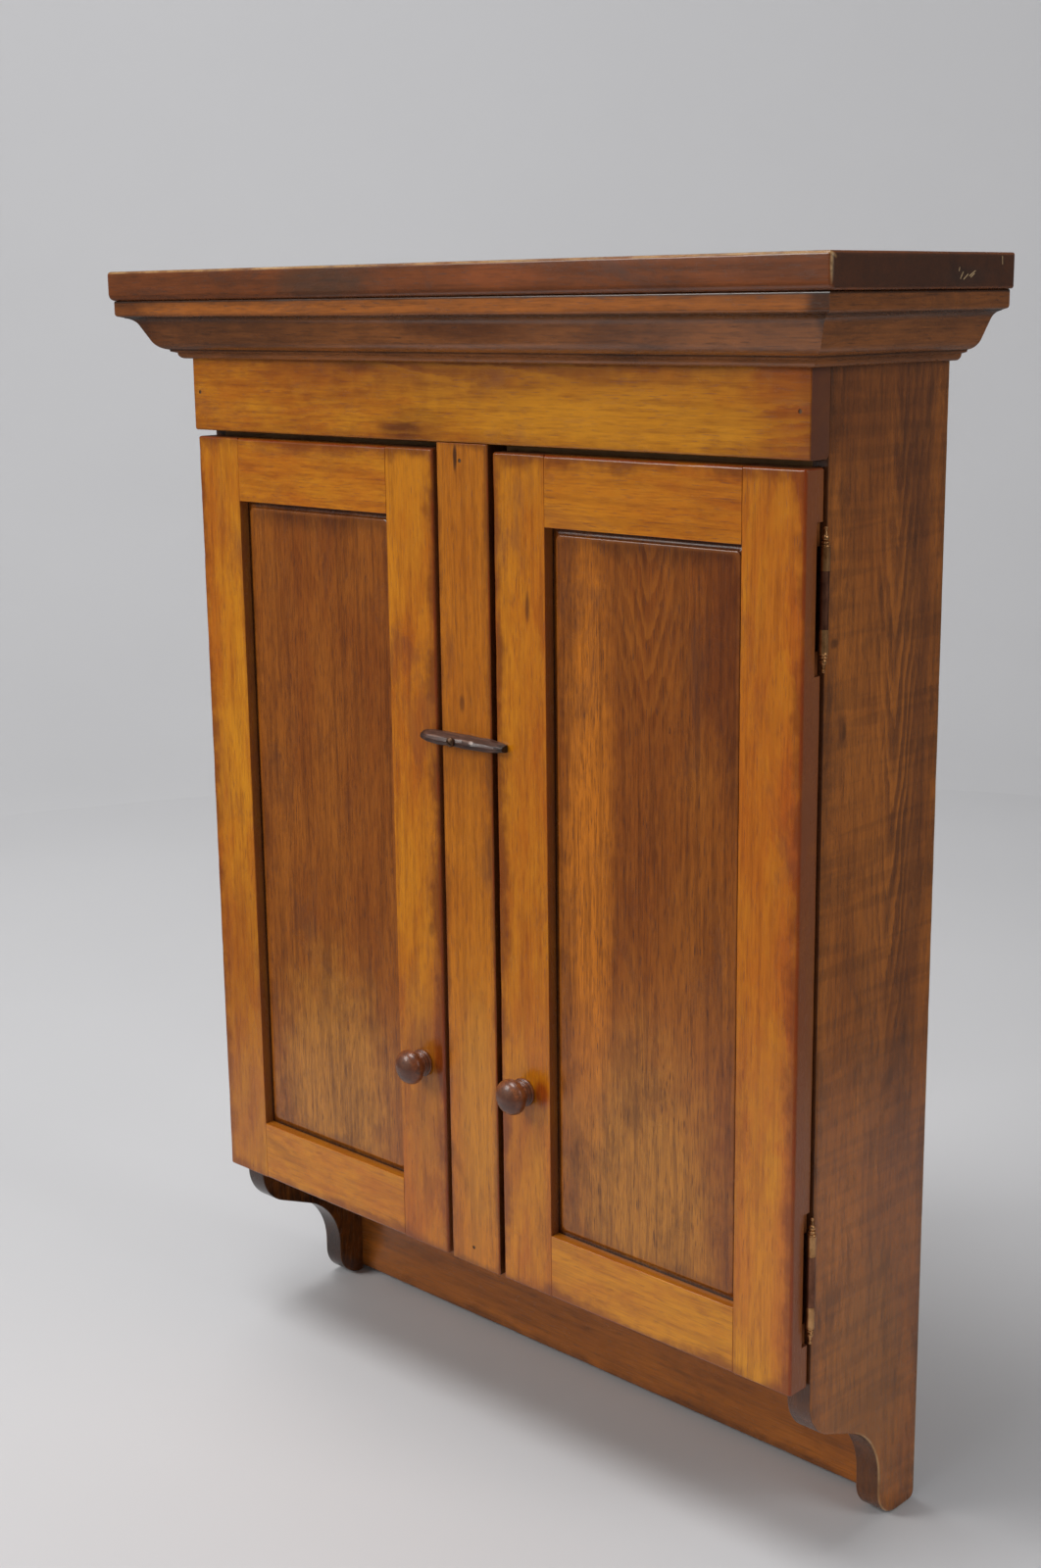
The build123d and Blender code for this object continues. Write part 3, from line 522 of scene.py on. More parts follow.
    # varnish: smoother where thick, duller over dirt and pores
    rough = shader.math("ADD", gloss, dirt * 0.12) + cloud * 0.1 + pores * 0.1
    rough = shader.math("ADD", rough, end * 0.2, clamp=True)
    swell = shader.bump(shader.noise(place, 16), 0.25 * MM)
    normal = shader.bump(fine * 0.5 + mottle * 0.8, 0.03 * MM, 0.8, swell)
    return shader.surface(Base_Color=colour, Roughness=rough, IOR=1.46, Coat_Weight=coat,
                          Coat_Roughness=0.1, Normal=normal)


def metal(name, bright, dull, grime, seed, rough=0.28):
    """Aged metal: polished where rubbed, brown tarnish in patches, grime in fine specks."""
    shader = Shader(name)
    place = shader.vector("ADD", shader.place, (seed, seed * 2, seed * 3))
    tarnish = shader.noise(place, (60, 60, 40), 5.0, 0.7)
    specks = shader.noise(place, 700, 3.0, 0.6).ramp(0.52, 0.8)
    brushed = shader.noise(place, (2600, 2600, 240))
    colour = shader.mix(bright, dull, tarnish.ramp(0.32, 0.72))
    colour = shader.mix(colour, grime, specks * 0.35)
    rough = shader.math("ADD", rough, tarnish * 0.22) + specks * 0.2
    normal = shader.bump(brushed + specks * -0.2, 0.03 * MM)
    return shader.surface(Base_Color=colour, Metallic=1.0, Roughness=rough, Normal=normal)


# ---- colours of the finish ----------------------------------------------------
GOLD = rgb(206, 134, 16)
HONEY = rgb(180, 99, 13)
RUST = rgb(140, 52, 12)
UMBER = rgb(86, 44, 18)
COCOA = rgb(84, 42, 20)
BLACK_BROWN = rgb(42, 24, 16)
GRIME_AND_SHADE = rgb(34, 20, 13)
PLUM = rgb(92, 54, 38)
BARE = rgb(222, 190, 140)
STRAW = rgb(186, 144, 90)
DRIFT = rgb(152, 108, 64)
DUSK = rgb(96, 64, 38)

GOLDEN = (GOLD, HONEY, rgb(108, 46, 7))
AMBERS = (rgb(200, 124, 14), rgb(174, 92, 11), rgb(100, 42, 8))
FRAME_BROWN = (rgb(194, 116, 16), rgb(164, 88, 12), rgb(84, 38, 8))
PANEL = (rgb(156, 88, 20), rgb(128, 64, 14), rgb(72, 32, 10))
FLANK = (rgb(182, 106, 36), rgb(152, 85, 31), rgb(64, 37, 22))
DARK_TOP = (rgb(126, 66, 28), rgb(96, 51, 24), rgb(48, 30, 20))
CORNICE = (rgb(146, 86, 38), rgb(110, 64, 32), rgb(46, 29, 20))
CORNICE_EDGE = rgb(140, 84, 46)
TURNED = (rgb(158, 94, 52), rgb(122, 64, 32), rgb(58, 28, 18))
WHITTLED = (rgb(104, 72, 58), rgb(74, 47, 37), rgb(28, 18, 16))
INSIDE = (STRAW, DRIFT, DUSK)
WARM_INSIDE = (rgb(172, 130, 80), rgb(138, 96, 56), rgb(84, 56, 34))
PALE_INSIDE = (BARE, rgb(166, 122, 76), DUSK)
INSIDE_BOARDS = (INSIDE, WARM_INSIDE, PALE_INSIDE)


# ---- putting a piece in place --------------------------------------------------
SLOTS = {part["node"]: part["material_slot"] for part in frame["record"]["subparts"]}
BODIES = {node: body for body, nodes in frame["record"]["behaviour"]["bodies"].items() for node in nodes}


def settle(piece, node, material):
    """The piece stands for a CAD node: it rides on the node's body and takes the given material."""
    piece.data.materials.clear()
    piece.data.materials.append(material)
    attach(piece, BODIES[node])
    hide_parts(node)
    return piece


def paint_node(node, material):
    """A CAD node that keeps its own shape gets a better material."""
    mesh = frame["nodes"][node].data
    mesh.materials.clear()
    mesh.materials.append(material)


def cut_away(piece, cutters):
    """Cuts closed shapes out of a piece and keeps the cut edges crisp."""
    piece.modifiers.clear()
    for cutter in cutters:
        modifier = piece.modifiers.new("cut", "BOOLEAN")
        modifier.operation = "DIFFERENCE"
        modifier.solver = "EXACT"
        modifier.object = cutter
    bake_modifiers(piece)
    for cutter in cutters:
        bpy.data.objects.remove(cutter)
    piece.data.set_sharp_from_angle(angle=math.radians(40))
    return even_normals(piece)


def middle_of(node):
    """The middle of a CAD node's box."""
    low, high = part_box(node)
    return (low + high) / 2


def block(low, high):
    """A plain box used only to cut with."""
    corners = [(x, y, z) for z in (low[2], high[2]) for y in (low[1], high[1]) for x in (low[0], high[0])]
    faces = [(0, 2, 3, 1), (4, 5, 7, 6), (0, 1, 5, 4), (2, 6, 7, 3), (0, 4, 6, 2), (1, 3, 7, 5)]
    return mesh_object("cutter", corners, faces)


def nail_sinks(node, axis, outward):
    """Cutters for the hollows over a group of sunk nail heads."""
    sunk, reach = 1.2 * MM, 5 * MM
    cutters = []
    for low, high in islands(node):
        middle = (low + high) / 2
        head = high[axis] if outward > 0 else low[axis]
        middle[axis] = head - outward * sunk
        radius = max((high - low)[index] for index in range(3) if index != axis) / 2
        direction = Vector((0, 0, 0))
        direction[axis] = outward
        cutters.append(lathe("cutter", [(radius, 0.0), (radius, reach)], middle, direction, 20))
    return cutters


def spot(x, y, z, half_sizes, colour, share):
    """A stained or worn place round a point, its half sizes along x, y and z in millimetres."""
    return (x, y, z), tuple(size * MM for size in half_sizes), colour, share


def varnished_board(node, box, along, radii, end_radius, seeds, tones, rub=(1, 1, 1, 1), end_rub=1.0,
                    **looks):
    """A worn, varnished board in the place of a CAD node. seeds are those of its surface and its grain."""
    piece = board(f"{node}_wood", *box, along, radii, end_radius, seeds[0], rub, end_rub)
    return settle(piece, node, wood(f"{node}_look", along, tones, seeds[1], **looks))


# ---- carcass: top, frieze, stile and apron --------------------------------------
def top_board():
    """Thick dark top whose polish is rubbed through along its edges and scratched at its right end."""
    low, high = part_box("top_board")
    width, end, face, top = high.x - low.x, high.x, low.y, high.z
    spots = [
        spot(end - 0.5 * MM, face + 1 * MM, top - 8 * MM, (1.8, 1.8, 18), BARE, 0.5),
        spot(low.x + 0.62 * width, face, top, (14, 2, 2.4), BARE, 0.8),
        spot(low.x + 0.3 * width, face, top, (40, 3, 2.0), BARE, 0.7),
        spot(low.x + 0.9 * width, face, top, (30, 3, 1.6), BARE, 0.6),
        spot(low.x + 0.37 * width, face, top - 12 * MM, (80, 8, 18), rgb(70, 52, 38), 0.7),
        spot(low.x + 0.62 * width, face, top - 10 * MM, (60, 8, 12), rgb(140, 72, 30), 0.5),
        spot(end, -0.13, top - 14 * MM, (4, 12, 7), rgb(110, 56, 30), 0.5),
        spot(end, -0.06, top - 16 * MM, (4, 40, 9), rgb(84, 60, 48), 0.5),
    ]
    # scratches on the right end: start and stop as millimetres from the wall side and from the top
    strokes = [((-70, -17.5), (-67, -13.5)), ((-66, -18), (-61, -14.8)), ((-59, -15.8), (-52, -12.5)),
               ((-57, -16.5), (-53, -14.3)), ((-72, -12.5), (-71.4, -10.5)), ((-18, -3), (-17.6, -8))]
    scratches = []
    for stroke_ends in strokes:
        start, stop = ((end, y * MM, top + z * MM) for y, z in stroke_ends)
        scratches.append((start, stop, 0.6 * MM, 0.6))
    piece = varnished_board("top_board", (low, high), X, (5.5, 0.4, 0.4, 2.5), 3, (1.0, 2.0), DARK_TOP,
                            (0.1, 0, 0.5, 1), 0.25, across=Z, taper=0.05, flame=0.12, smudge=0.6,
                            spots=spots, scratches=scratches, edge=rgb(190, 150, 96), edge_share=0.5)
    cut_away(piece, nail_sinks("top_nails", Z, 1))


def frieze():
    """Honey board over the doors, darker at its top from painted cornice shadow and dirt, and with a knot low
    in the middle.
    """
    low, high = FRIEZE_LOW, FRIEZE_HIGH
    width, face, foot = high.x - low.x, low.y, low.z
    spots = [
        # painted shadow of the cornice, with dirt, darkens the top of the board
        spot(low.x + 0.5 * width, face, high.z - 20 * MM, (700 * width, 30, 74), rgb(126, 66, 20), 0.9),
        spot(low.x + 0.4 * width, face, foot + 8 * MM, (34, 9, 9), COCOA, 0.75),
        spot(low.x + 0.42 * width, face, foot + 10 * MM, (60, 9, 22), UMBER, 0.4),
        spot(low.x + 0.33 * width, face, foot + 60 * MM, (40, 9, 9), UMBER, 0.5),
        spot(high.x - 14 * MM, face + 2 * MM, foot + 50 * MM, (52, 10, 90), RUST, 0.6),
        spot(low.x + 0.31 * width, face, foot + 88 * MM, (5, 6, 34), BLACK_BROWN, 0.6),
        spot(low.x + 0.74 * width, face, foot + 20 * MM, (190, 9, 34), rgb(216, 144, 20), 0.7),
    ]
    piece = varnished_board("frieze", (low, high), X, (2.0, 4.0, 0.4, 0.4), 1.2, (2.0, 3.0), GOLDEN,
                            across=Z, heart=-30 * MM, depth=0.012, rings=130, flame=0.35, blotch=0.8,
                            smudge=0.35, spots=spots, rim=(low, high, 12 * MM), rim_share=0.3, face=Y,
                            edge=UMBER, edge_share=0.4)
    cut_away(piece, nail_sinks("frieze_nails", Y, -1))


def centre_stile():
    """Fixed upright between the doors, with its small split knots."""
    low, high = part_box("centre_stile")
    button_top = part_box("turn_button")[1].z
    spots = [
        spot(-7 * MM, low.y, high.z - 12 * MM, (3, 5, 14), BLACK_BROWN, 0.9),
        spot(-4 * MM, low.y, button_top + 24 * MM, (4, 5, 10), COCOA, 0.75),
        spot(6 * MM, low.y, low.z + 0.2 * (high.z - low.z), (30, 8, 160), rgb(196, 128, 30), 0.65),
    ]
    piece = varnished_board("centre_stile", (low, high), Z, (1.6, 1.6, 0.4, 0.4), 0.6, (3.0, 4.0),
                            FRAME_BROWN, heart=0.01, flame=0.2, smudge=0.45, spots=spots,
                            rim=(low, high, 6 * MM), face=Y, face_dark=BLACK_BROWN, edge=RUST,
                            edge_share=0.6)
    cut_away(piece, nail_sinks("stile_nails", Y, -1))


def apron():
    """Back board between the brackets."""
    low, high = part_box("apron")
    shade = spot(0.0, low.y, high.z - 20 * MM, (500, 20, 70), COCOA, 0.5)
    varnished_board("apron", (low, high), X, (2.0, 0.6, 0.4, 0.4), 0.4, (5.0, 6.0), FLANK, across=Z,
                    heart=low.z + 0.05, flame=0.15, spots=[shade], rim=(low, high, 10 * MM), edge=UMBER,
                    edge_share=0.4)


# ---- sides -----------------------------------------------------------------------
def side_outline(low, high):
    """Side panel as (y, z), going round: a scrolled bracket below, plain above."""
    toe, shoulder, pitch = 26 * MM, DOOR_BOTTOM - 13.5 * MM, 12 * MM
    lobe_end = Vector((low.y + 23 * MM, shoulder - 34.5 * MM))
    slope_end = lobe_end + Vector((34 * MM, -14.17 * MM))
    arch_end = slope_end + Vector((37 * MM, -55.5 * MM))
    lobe, tangent = tangent_arc((low.y, shoulder), lobe_end, (0, -1), 16)
    arch, _ = tangent_arc(slope_end, arch_end, tangent, 24)
    toe_arc, _ = tangent_arc((arch_end.x, low.z + toe), (arch_end.x + toe, low.z), (0, -1), 12)
    front = [Vector((low.y, z)) for z in span(shoulder, high.z, pitch)]
    heel = [Vector(p) for p in arc((high.y - 7 * MM, low.z + 7 * MM), (7 * MM, 7 * MM), -90, 0, 6)]
    back = [Vector((high.y, z)) for z in span(low.z + 10 * MM, high.z, pitch)]
    return list(reversed(front)) + lobe[1:] + arch + toe_arc + heel + back


def inset(points, distance):
    """A closed outline moved inward, which is to the left of its direction."""
    moved = []
    for index, point in enumerate(points):
        before = (point - points[index - 1]).normalized()
        after = (points[(index + 1) % len(points)] - point).normalized()
        first, second = Vector((-before.y, before.x)), Vector((-after.y, after.x))
        moved.append(point + (first + second) * (distance / (1 + first.dot(second))))
    return moved


def side_panel(name, node, hand):
    """One side: a plank with worn arrises, rebated for the back and housed for the boards."""
    low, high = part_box(node)
    outline = side_outline(low, high)
    outer_round, inner_round = 1.8 * MM, 1.0 * MM
    inner, outer = sorted((abs(low.x), abs(high.x)))
    middle = (inner + outer) / 2
    rounds = quarter_round(ARC_STEPS)
    rings = [(outer, outer_round + NEAR, 0.0)]
    rings += [(outer - outer_round * back, outer_round * down, worn) for back, down, worn in rounds]
    rings += [(middle, 0.0, 0.0)]
    rings += [(inner + inner_round * back, inner_round * down, 0.4 * worn)
              for back, down, worn in reversed(rounds)]
    rings += [(inner, inner_round + NEAR, 0.0)]
    scroll_top, scroll_front = DOOR_BOTTOM - 30 * MM, low.y + 60 * MM
    vertices, wear_and_shade = [], []
    for x, distance, worn in rings:
        for y, z in inset(outline, distance):
            point = Vector((hand * x, y, z))
            dent = worn * ARRIS_WEAR * max(0.0, ripple(point, 22 * MM, 4.0))
            point.x -= hand * dent * (1 if x > middle else -1)
            vertices.append(point)
            wear_and_shade.append(worn * (0.75 if z < scroll_top and y > scroll_front else 0.25))
    piece = even_normals(mesh_object(name, vertices, skin(vertices, len(outline)), wear_and_shade))
    return cut_away(piece, side_housings(hand, inner))


def side_housings(hand, inner):
    """Cutters for the rebate of the back boards and for the ends of the boards housed in a side."""
    over = 3 * MM
    low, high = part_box("back_board_5")
    grooves = [(high.x + 0.2 * MM, low.y, over, low.z, high.z + over)]
    # how far each groove runs past its board, at the front, the back, the bottom and the top
    past = {"apron": (0, over, 2 * over, 0), "bottom_board": (over, 0, 0, 0),
            "front_rail": (over, 0, 0, 0), "hanging_rail": (0, 0, 0, over)}
    for node, (front, back, below, above) in past.items():
        low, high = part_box(node)
        grooves.append((high.x, low.y - front, high.y + back, low.z - below, high.z + above))
    cutters = []
    for reach, y_low, y_high, z_low, z_high in grooves:
        x = sorted((hand * (inner - over), hand * reach))
        cutters.append(block((x[0], y_low, z_low), (x[1], y_high, z_high)))
    return cutters


def sides():
    """Both side panels; the right one has a flame and a small knot beside its upper hinge."""
    low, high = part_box("right_side")
    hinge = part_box("right_upper_hinge_side_leaf")[0]
    for hand, node in ((1, "right_side"), (-1, "left_side")):
        face = hand * high.x
        spots = [
            spot(face, -0.04, 0.3 * low.z, (20, 36, 500), rgb(86, 48, 30), 0.6),
            spot(face, -0.07, high.z, (20, 200, 200), rgb(80, 46, 32), 0.5),
            spot(face, -0.075, 0.52 * low.z, (20, 26, 160), rgb(148, 88, 42), 0.5),
            spot(face, -0.075, 0.86 * low.z, (20, 80, 160), rgb(150, 96, 44), 0.55),
            spot(face, low.y + 10 * MM, hinge.z + 4 * MM, (6, 7, 5), BLACK_BROWN, 0.6),
            spot(face, low.y + 24 * MM, hinge.z - 60 * MM, (6, 3, 9), BLACK_BROWN, 0.5),
            spot(face, high.y, 0.5 * low.z, (6, 3.5, 2000), STRAW, 0.6),
        ]
        # the left side is painted in shade: a near-black patch over its bracket, and darker narrow faces than
        # the right side's
        if hand < 0:
            spots.append(spot(face, low.y, low.z + 0.06, (60, 240, 200), rgb(18, 12, 9), 1.0))
        look = wood(f"{node}_look", Z, FLANK, 7.0 + hand, across=Y, heart=-0.062, depth=0.004, taper=-0.12,
                    rings=130, flame=0.75, flame_at=((face, -62 * MM, -0.3), (0.1, 46 * MM, 0.34)), curl=0.22,
                    smudge=0.6, blotch=0.7, spots=spots, rim=(low, high, 14 * MM), rim_share=0.35, face=X,
                    face_dark=rgb(66, 40, 29) if hand > 0 else BLACK_BROWN, edge=BARE, edge_share=0.5)
        settle(side_panel(f"{node}_wood", node, hand), node, look)


# ---- cornice ---------------------------------------------------------------------
def cornice_section():
    """The moulding as (projection, height below the carcass top, wear), from the top back round to it."""
    base = (CARCASS_TOP - CORNICE_BOTTOM) / MM + 0.6
    # a third value below zero paints grime and shade: along the joint under the top board and over the fillet
    # strip
    points = [(0, 0, 0.0), (30, 0, -1.0), (42, 0, -1.0)]
    points += [(x, y, -0.9) for x, y in arc((44.5, 1.5), (1.5, 1.5), -90, 0, 4)]
    points += [(46, 3.0, 0.0), (46, 5.5, 0.1), (46, 8.5, 0.1)]
    nose = arc((43.6, 11), (2.4, 2.4), 0, 90, 6)
    points += [(x, y, 0.5 - 0.015 * index * index) for index, (x, y) in enumerate(nose)]
    # grime and painted shade under the nose of the strip and in the cove of the ogee below it
    points += [(42.4, 13.8, -1.0), (40.4, 14.3, -1.0)]
    upper, tangent = tangent_arc((39.8, base - 35.2), (31.0, base - 28.4), (-1, 0.14), 10)
    lower, _ = tangent_arc((25.2, base - 17.0), (13.6, base - 8.2), tangent, 12)
    ogee = upper + lower
    points += [(p.x, p.y, -max(0.0, 0.95 - 0.07 * index)) for index, p in enumerate(ogee[:13])]
    points += [(p.x, p.y, 0.25) for p in ogee[13:-2]]
    # grime and painted shade where the ogee meets the bead and along the foot against the frieze
    points += [(p.x, p.y, -0.8) for p in ogee[-2:]]
    points += [(13.2, base - 6.6, -0.3), (11, base - 6.0, 0.2), (8.8, base - 5.4, 0.6)]
    bead, _ = tangent_arc((8.8, base - 5.4), (4.6, base - 0.6), (0, 1), 8)
    points += [(p.x, p.y, 0.3 if index < 6 else -0.6) for index, p in enumerate(bead[1:])]
    points += [(2, base - 0.6, -1.0), (0, base - 0.6, -1.0)]
    return [(out * MM, down * MM, worn) for out, down, worn in points]


def moulding(name, ends, place, seed):
    """A length of cornice. ends(out) gives its two ends for a projection, place(along, out) its (x, y)."""
    section = cornice_section()
    vertices, wear_and_shade = [], []
    for row in range(MOULDING_ROWS + 1):
        for out, down, worn in section:
            first, last = ends(out)
            x, y = place(first + (last - first) * row / MOULDING_ROWS, out)
            point = Vector((x, y, CARCASS_TOP - down))
            dent = max(0.0, worn) * 0.35 * MM * max(0.0, ripple(point, 20 * MM, seed))
            shaped = 2 * MM < out < 45 * MM and down > 1 * MM
            wave = 0.12 * MM * ripple(point, 60 * MM, seed + 3) if shaped else 0.0
            point.z += dent * (1 if down > 4 * MM else -1) + wave
            vertices.append(point)
            wear_and_shade.append(worn)
    piece = mesh_object(name, vertices, skin(vertices, len(section)), wear_and_shade)
    piece.data.set_sharp_from_angle(angle=math.radians(38))
    return even_normals(piece)


def cornice():
    """Front length and two returns, mitred at the front corners."""
    face, top, corner = FRONT_Y, CARCASS_TOP, HALF_W + 40 * MM
    spots = [
        spot(0.03, face - 30 * MM, top - 22 * MM, (90, 40, 14), UMBER, 0.5),
        spot(-0.2, face - 30 * MM, top - 30 * MM, (160, 40, 22), BLACK_BROWN, 0.35),
        spot(0.0, face - 47 * MM, top - 7 * MM, (800, 6, 9), rgb(184, 104, 32), 0.5),
        # painted shade on the front's right end where it turns towards the return
        spot(corner, face - 36 * MM, top - 20 * MM, (17, 60, 50), BLACK_BROWN, 0.85),
        spot(-corner, face - 36 * MM, top - 20 * MM, (50, 60, 50), UMBER, 0.7),
    ]
    look = wood("cornice_front_look", X, CORNICE, 9.0, across=Z, flame=0.2, blotch=0.9, smudge=0.5,
                spots=spots, edge=CORNICE_EDGE, edge_share=0.5)
    front = moulding("cornice_front_moulding", lambda out: (-HALF_W - out, HALF_W + out),
                     lambda along, out: (along, FRONT_Y - out), 1.0)
    settle(front, "cornice_front", look)
    for hand, side in ((1, "right"), (-1, "left")):
        node = f"{side}_cornice_return"
        look = wood(f"{node}_look", Y, CORNICE, 10.0 + hand, across=Z, flame=0.15, smudge=0.5,
                    edge=CORNICE_EDGE, edge_share=0.5)
        piece = moulding(f"{node}_moulding", lambda out: (FRONT_Y - out, 0.0),
                         lambda along, out: (hand * (HALF_W + out), along), 2.0 + hand)
        settle(piece, node, look)


# ---- doors -----------------------------------------------------------------------
def stile_spots(side, member, low, high):
    """The marks on one stile of a door frame."""
    length, face, middle = high.z - low.z, low.y, low.x + 0.5 * (high.x - low.x)
    beside_knob, knob_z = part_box(f"{side}_knob")[1].x + 5 * MM, middle_of(f"{side}_knob").z
    # a painted reflection of the knob in the varnish, with its shadow, in a patch just to its right
    knob_reflection = spot(beside_knob, face, knob_z + 2 * MM, (11, 6, 15), RUST, 0.85)
    if member == "hinge_stile" and side == "right":
        return [
            spot(high.x, face + 2 * MM, 0.5 * (low.z + high.z), (22, 12, 800), rgb(168, 66, 14), 0.5),
            spot(middle, face, high.z - 0.3 * length, (60, 9, 400), rgb(176, 84, 14), 0.6),
            spot(middle, face, low.z + 0.12 * length, (40, 9, 90), rgb(196, 112, 30), 0.5),
        ]
    if member == "hinge_stile":
        return [spot(middle, face, low.z + 0.2 * length, (60, 9, 200), rgb(140, 74, 22), 0.45)]
    if side == "right":
        return [
            knob_reflection,
            spot(low.x + 0.66 * (high.x - low.x), face, high.z - 0.17 * length, (3, 6, 16), UMBER, 0.8),
            spot(low.x + 12 * MM, face, low.z + 0.19 * length, (30, 9, 60), RUST, 0.4),
            spot(low.x + 40 * MM, face, low.z + 0.1 * length, (16, 9, 90), GOLD, 0.45),
        ]
    return [
        knob_reflection,
        spot(high.x - 12 * MM, face, low.z + 0.42 * length, (5, 6, 9), COCOA, 0.7),
        spot(high.x - 7 * MM, face, low.z + 0.36 * length, (3, 6, 5), BLACK_BROWN, 0.7),
        spot(high.x - 22 * MM, face, low.z + 0.22 * length, (44, 9, 130), rgb(150, 92, 30), 0.4),
        spot(high.x - 4 * MM, face, low.z + 0.3 * length, (12, 9, 120), RUST, 0.5),
    ]


def door_frame(side, hand, seed):
    """Two stiles and two rails with tight joints and rubbed outer arrises."""
    eased, tight, joint = 2.6, 0.5, 0.05 * MM
    stiles = [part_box(f"{side}_door_{member}") for member in ("lock_stile", "hinge_stile")]
    door_low = Vector(min(box[0][axis] for box in stiles) for axis in range(3))
    door_high = Vector(max(box[1][axis] for box in stiles) for axis in range(3))
    # the frame darkens towards the door's outer edges: dirt and painted shade round the door
    shared = dict(flame=0.3, blotch=0.8, smudge=0.45, rim=(door_low, door_high, 13 * MM), rim_share=0.7,
                  face=Y, edge=RUST)
    for member, tones in (("lock_stile", AMBERS), ("hinge_stile", GOLDEN)):
        node, own_seed = f"{side}_door_{member}", seed + len(member)
        low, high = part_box(node)
        outer_high = (hand > 0) == (member == "hinge_stile")
        corners = (tight, eased, 0.8, 0.8) if outer_high else (eased, tight, 0.8, 0.8)
        piece = varnished_board(node, (low, high), Z, corners, 1.8, (own_seed, own_seed), tones,
                                heart=low.x + 0.7 * (high.x - low.x), face_dark=rgb(128, 74, 44),
                                spots=stile_spots(side, member, low, high), edge_share=0.6, **shared)
        if member == "hinge_stile":
            cut_away(piece, hinge_gains(side, hand, low, high))
    sight = sorted(abs(corner.x) for box in stiles for corner in box)[1:3]
    for member in ("top_rail", "bottom_rail"):
        node, own_seed = f"{side}_door_{member}", seed + len(member)
        low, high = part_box(node)
        x = sorted(hand * value for value in sight)
        low.x, high.x = x[0] + joint, x[1] - joint
        top = member == "top_rail"
        corners = (tight, 0.8, 0.8, eased) if top else (eased, 0.8, 0.8, tight)
        tones = AMBERS if top and side == "right" else GOLDEN
        varnished_board(node, (low, high), X, corners, 0.25, (own_seed, own_seed + 20), tones, across=Z,
                        heart=low.z + 0.2 * (high.z - low.z), face_dark=rgb(150, 84, 26),
                        edge_share=0.7, **shared)


def hinge_gains(side, hand, low, high):
    """Cutters for the leaf's recess and for the notch that clears barrel and finials."""
    play, reach, past, barrel = 0.2 * MM, 17 * MM, 2 * MM, 3 * MM
    outer, back = max(abs(low.x), abs(high.x)), high.y + MM
    cutters = []
    for level in ("lower", "upper"):
        leaf_low, leaf_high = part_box(f"{side}_{level}_hinge_door_leaf")
        recess = (min(abs(leaf_low.x), abs(leaf_high.x)) - play, leaf_low.y, play)
        notch = (outer - barrel, leaf_low.y - 2.1 * MM, reach)
        for start, front, spare in (recess, notch):
            x = sorted((hand * start, hand * (outer + past)))
            cutters.append(block((x[0], front, leaf_low.z - spare), (x[1], back, leaf_high.z + spare)))
    return cutters


def door_panel(side, hand, seed):
    """Recessed panel with a shallow cove round its field."""
    node = f"{side}_door_panel"
    low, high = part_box(node)
    tongue, tongue_depth, corner_steps = 7.2 * MM, 2.5 * MM, 6
    half = Vector(((high.x - low.x) / 2 - tongue, (high.z - low.z) / 2 - tongue))
    middle = (low + high) / 2
    # rings from the back of the tongue to the field: distance in from the frame, depth, corner radius, wear
    rings = [(-tongue, high.y - low.y, 0.3, 0.0), (-tongue, tongue_depth, 0.3, 0.0)]
    # the groove beside the frame gets values below zero: grime and painted shade where the frame overhangs
    # the panel
    rings += [(0.4 * MM, tongue_depth, 0.4, -1.0), (1.4 * MM, tongue_depth, 0.8, -0.8)]
    cove = arc((1.6 * MM, 0.55 * MM), (4.3 * MM, 1.95 * MM), 90, 8, 10)
    rings += [(x, y, 1.0 + 3.5 * index / 10, -0.7 + 0.1 * index) for index, (x, y) in enumerate(cove)]
    rings += [(5.4 * MM, 0.32 * MM, 5.0, 0.6), (6.6 * MM, 0.12 * MM, 5.4, 1.0)]
    rings += [(8.4 * MM, 0.02 * MM, 6.0, 0.4), (12 * MM, 0.0, 8.0, 0.0)]
    vertices, wear_and_shade = [], []
    for distance, depth, radius, worn in rings:
        radius *= MM
        reach = half - Vector((distance, distance))
        for quarter in range(4):
            sign = Vector((1 if quarter in (0, 3) else -1, 1 if quarter in (0, 1) else -1))
            centre = Vector((sign.x * (reach.x - radius), sign.y * (reach.y - radius)))
            for step in range(corner_steps + 1):
                turn = math.pi / 2 * (quarter + step / corner_steps)
                corner = centre + Vector((math.cos(turn), math.sin(turn))) * radius
                vertices.append((middle.x + corner.x, low.y + depth, middle.z + corner.y))
                wear_and_shade.append(worn)
    faces = skin(vertices, 4 * (corner_steps + 1))
    piece = even_normals(mesh_object(f"{node}_wood", vertices, faces, wear_and_shade))
    # painted shadow under the top rail along the top of the panel
    spots = [spot(middle.x, low.y, high.z - 10 * MM, (120, 8, 26), BLACK_BROWN, 0.35),
             spot(middle.x, low.y, low.z + 60 * MM, (100, 8, 170), rgb(196, 130, 42), 0.65)]
    if side == "right":
        spots += [spot(middle.x - 0.055, low.y, middle.z + 60 * MM, (32, 8, 320), rgb(204, 118, 22), 0.8),
                  spot(high.x - 20 * MM, low.y, high.z - 90 * MM, (34, 8, 140), rgb(98, 44, 14), 0.65)]
    heart = middle.x + 4 * MM
    look = wood(f"{node}_look", Z, PANEL, seed, heart=heart, depth=0.003, taper=-0.35, rings=100,
                flame=0.6 if side == "right" else 0.2,
                flame_at=((heart, low.y, high.z - 80 * MM), (56 * MM, 30 * MM, 0.11)), fibre=0.75,
                smudge=0.5, blotch=0.6, spots=spots, rim=(low, high, 20 * MM), rim_share=0.6, face=Y,
                face_dark=BLACK_BROWN, edge=rgb(160, 92, 30), edge_share=0.4)
    settle(piece, node, look)


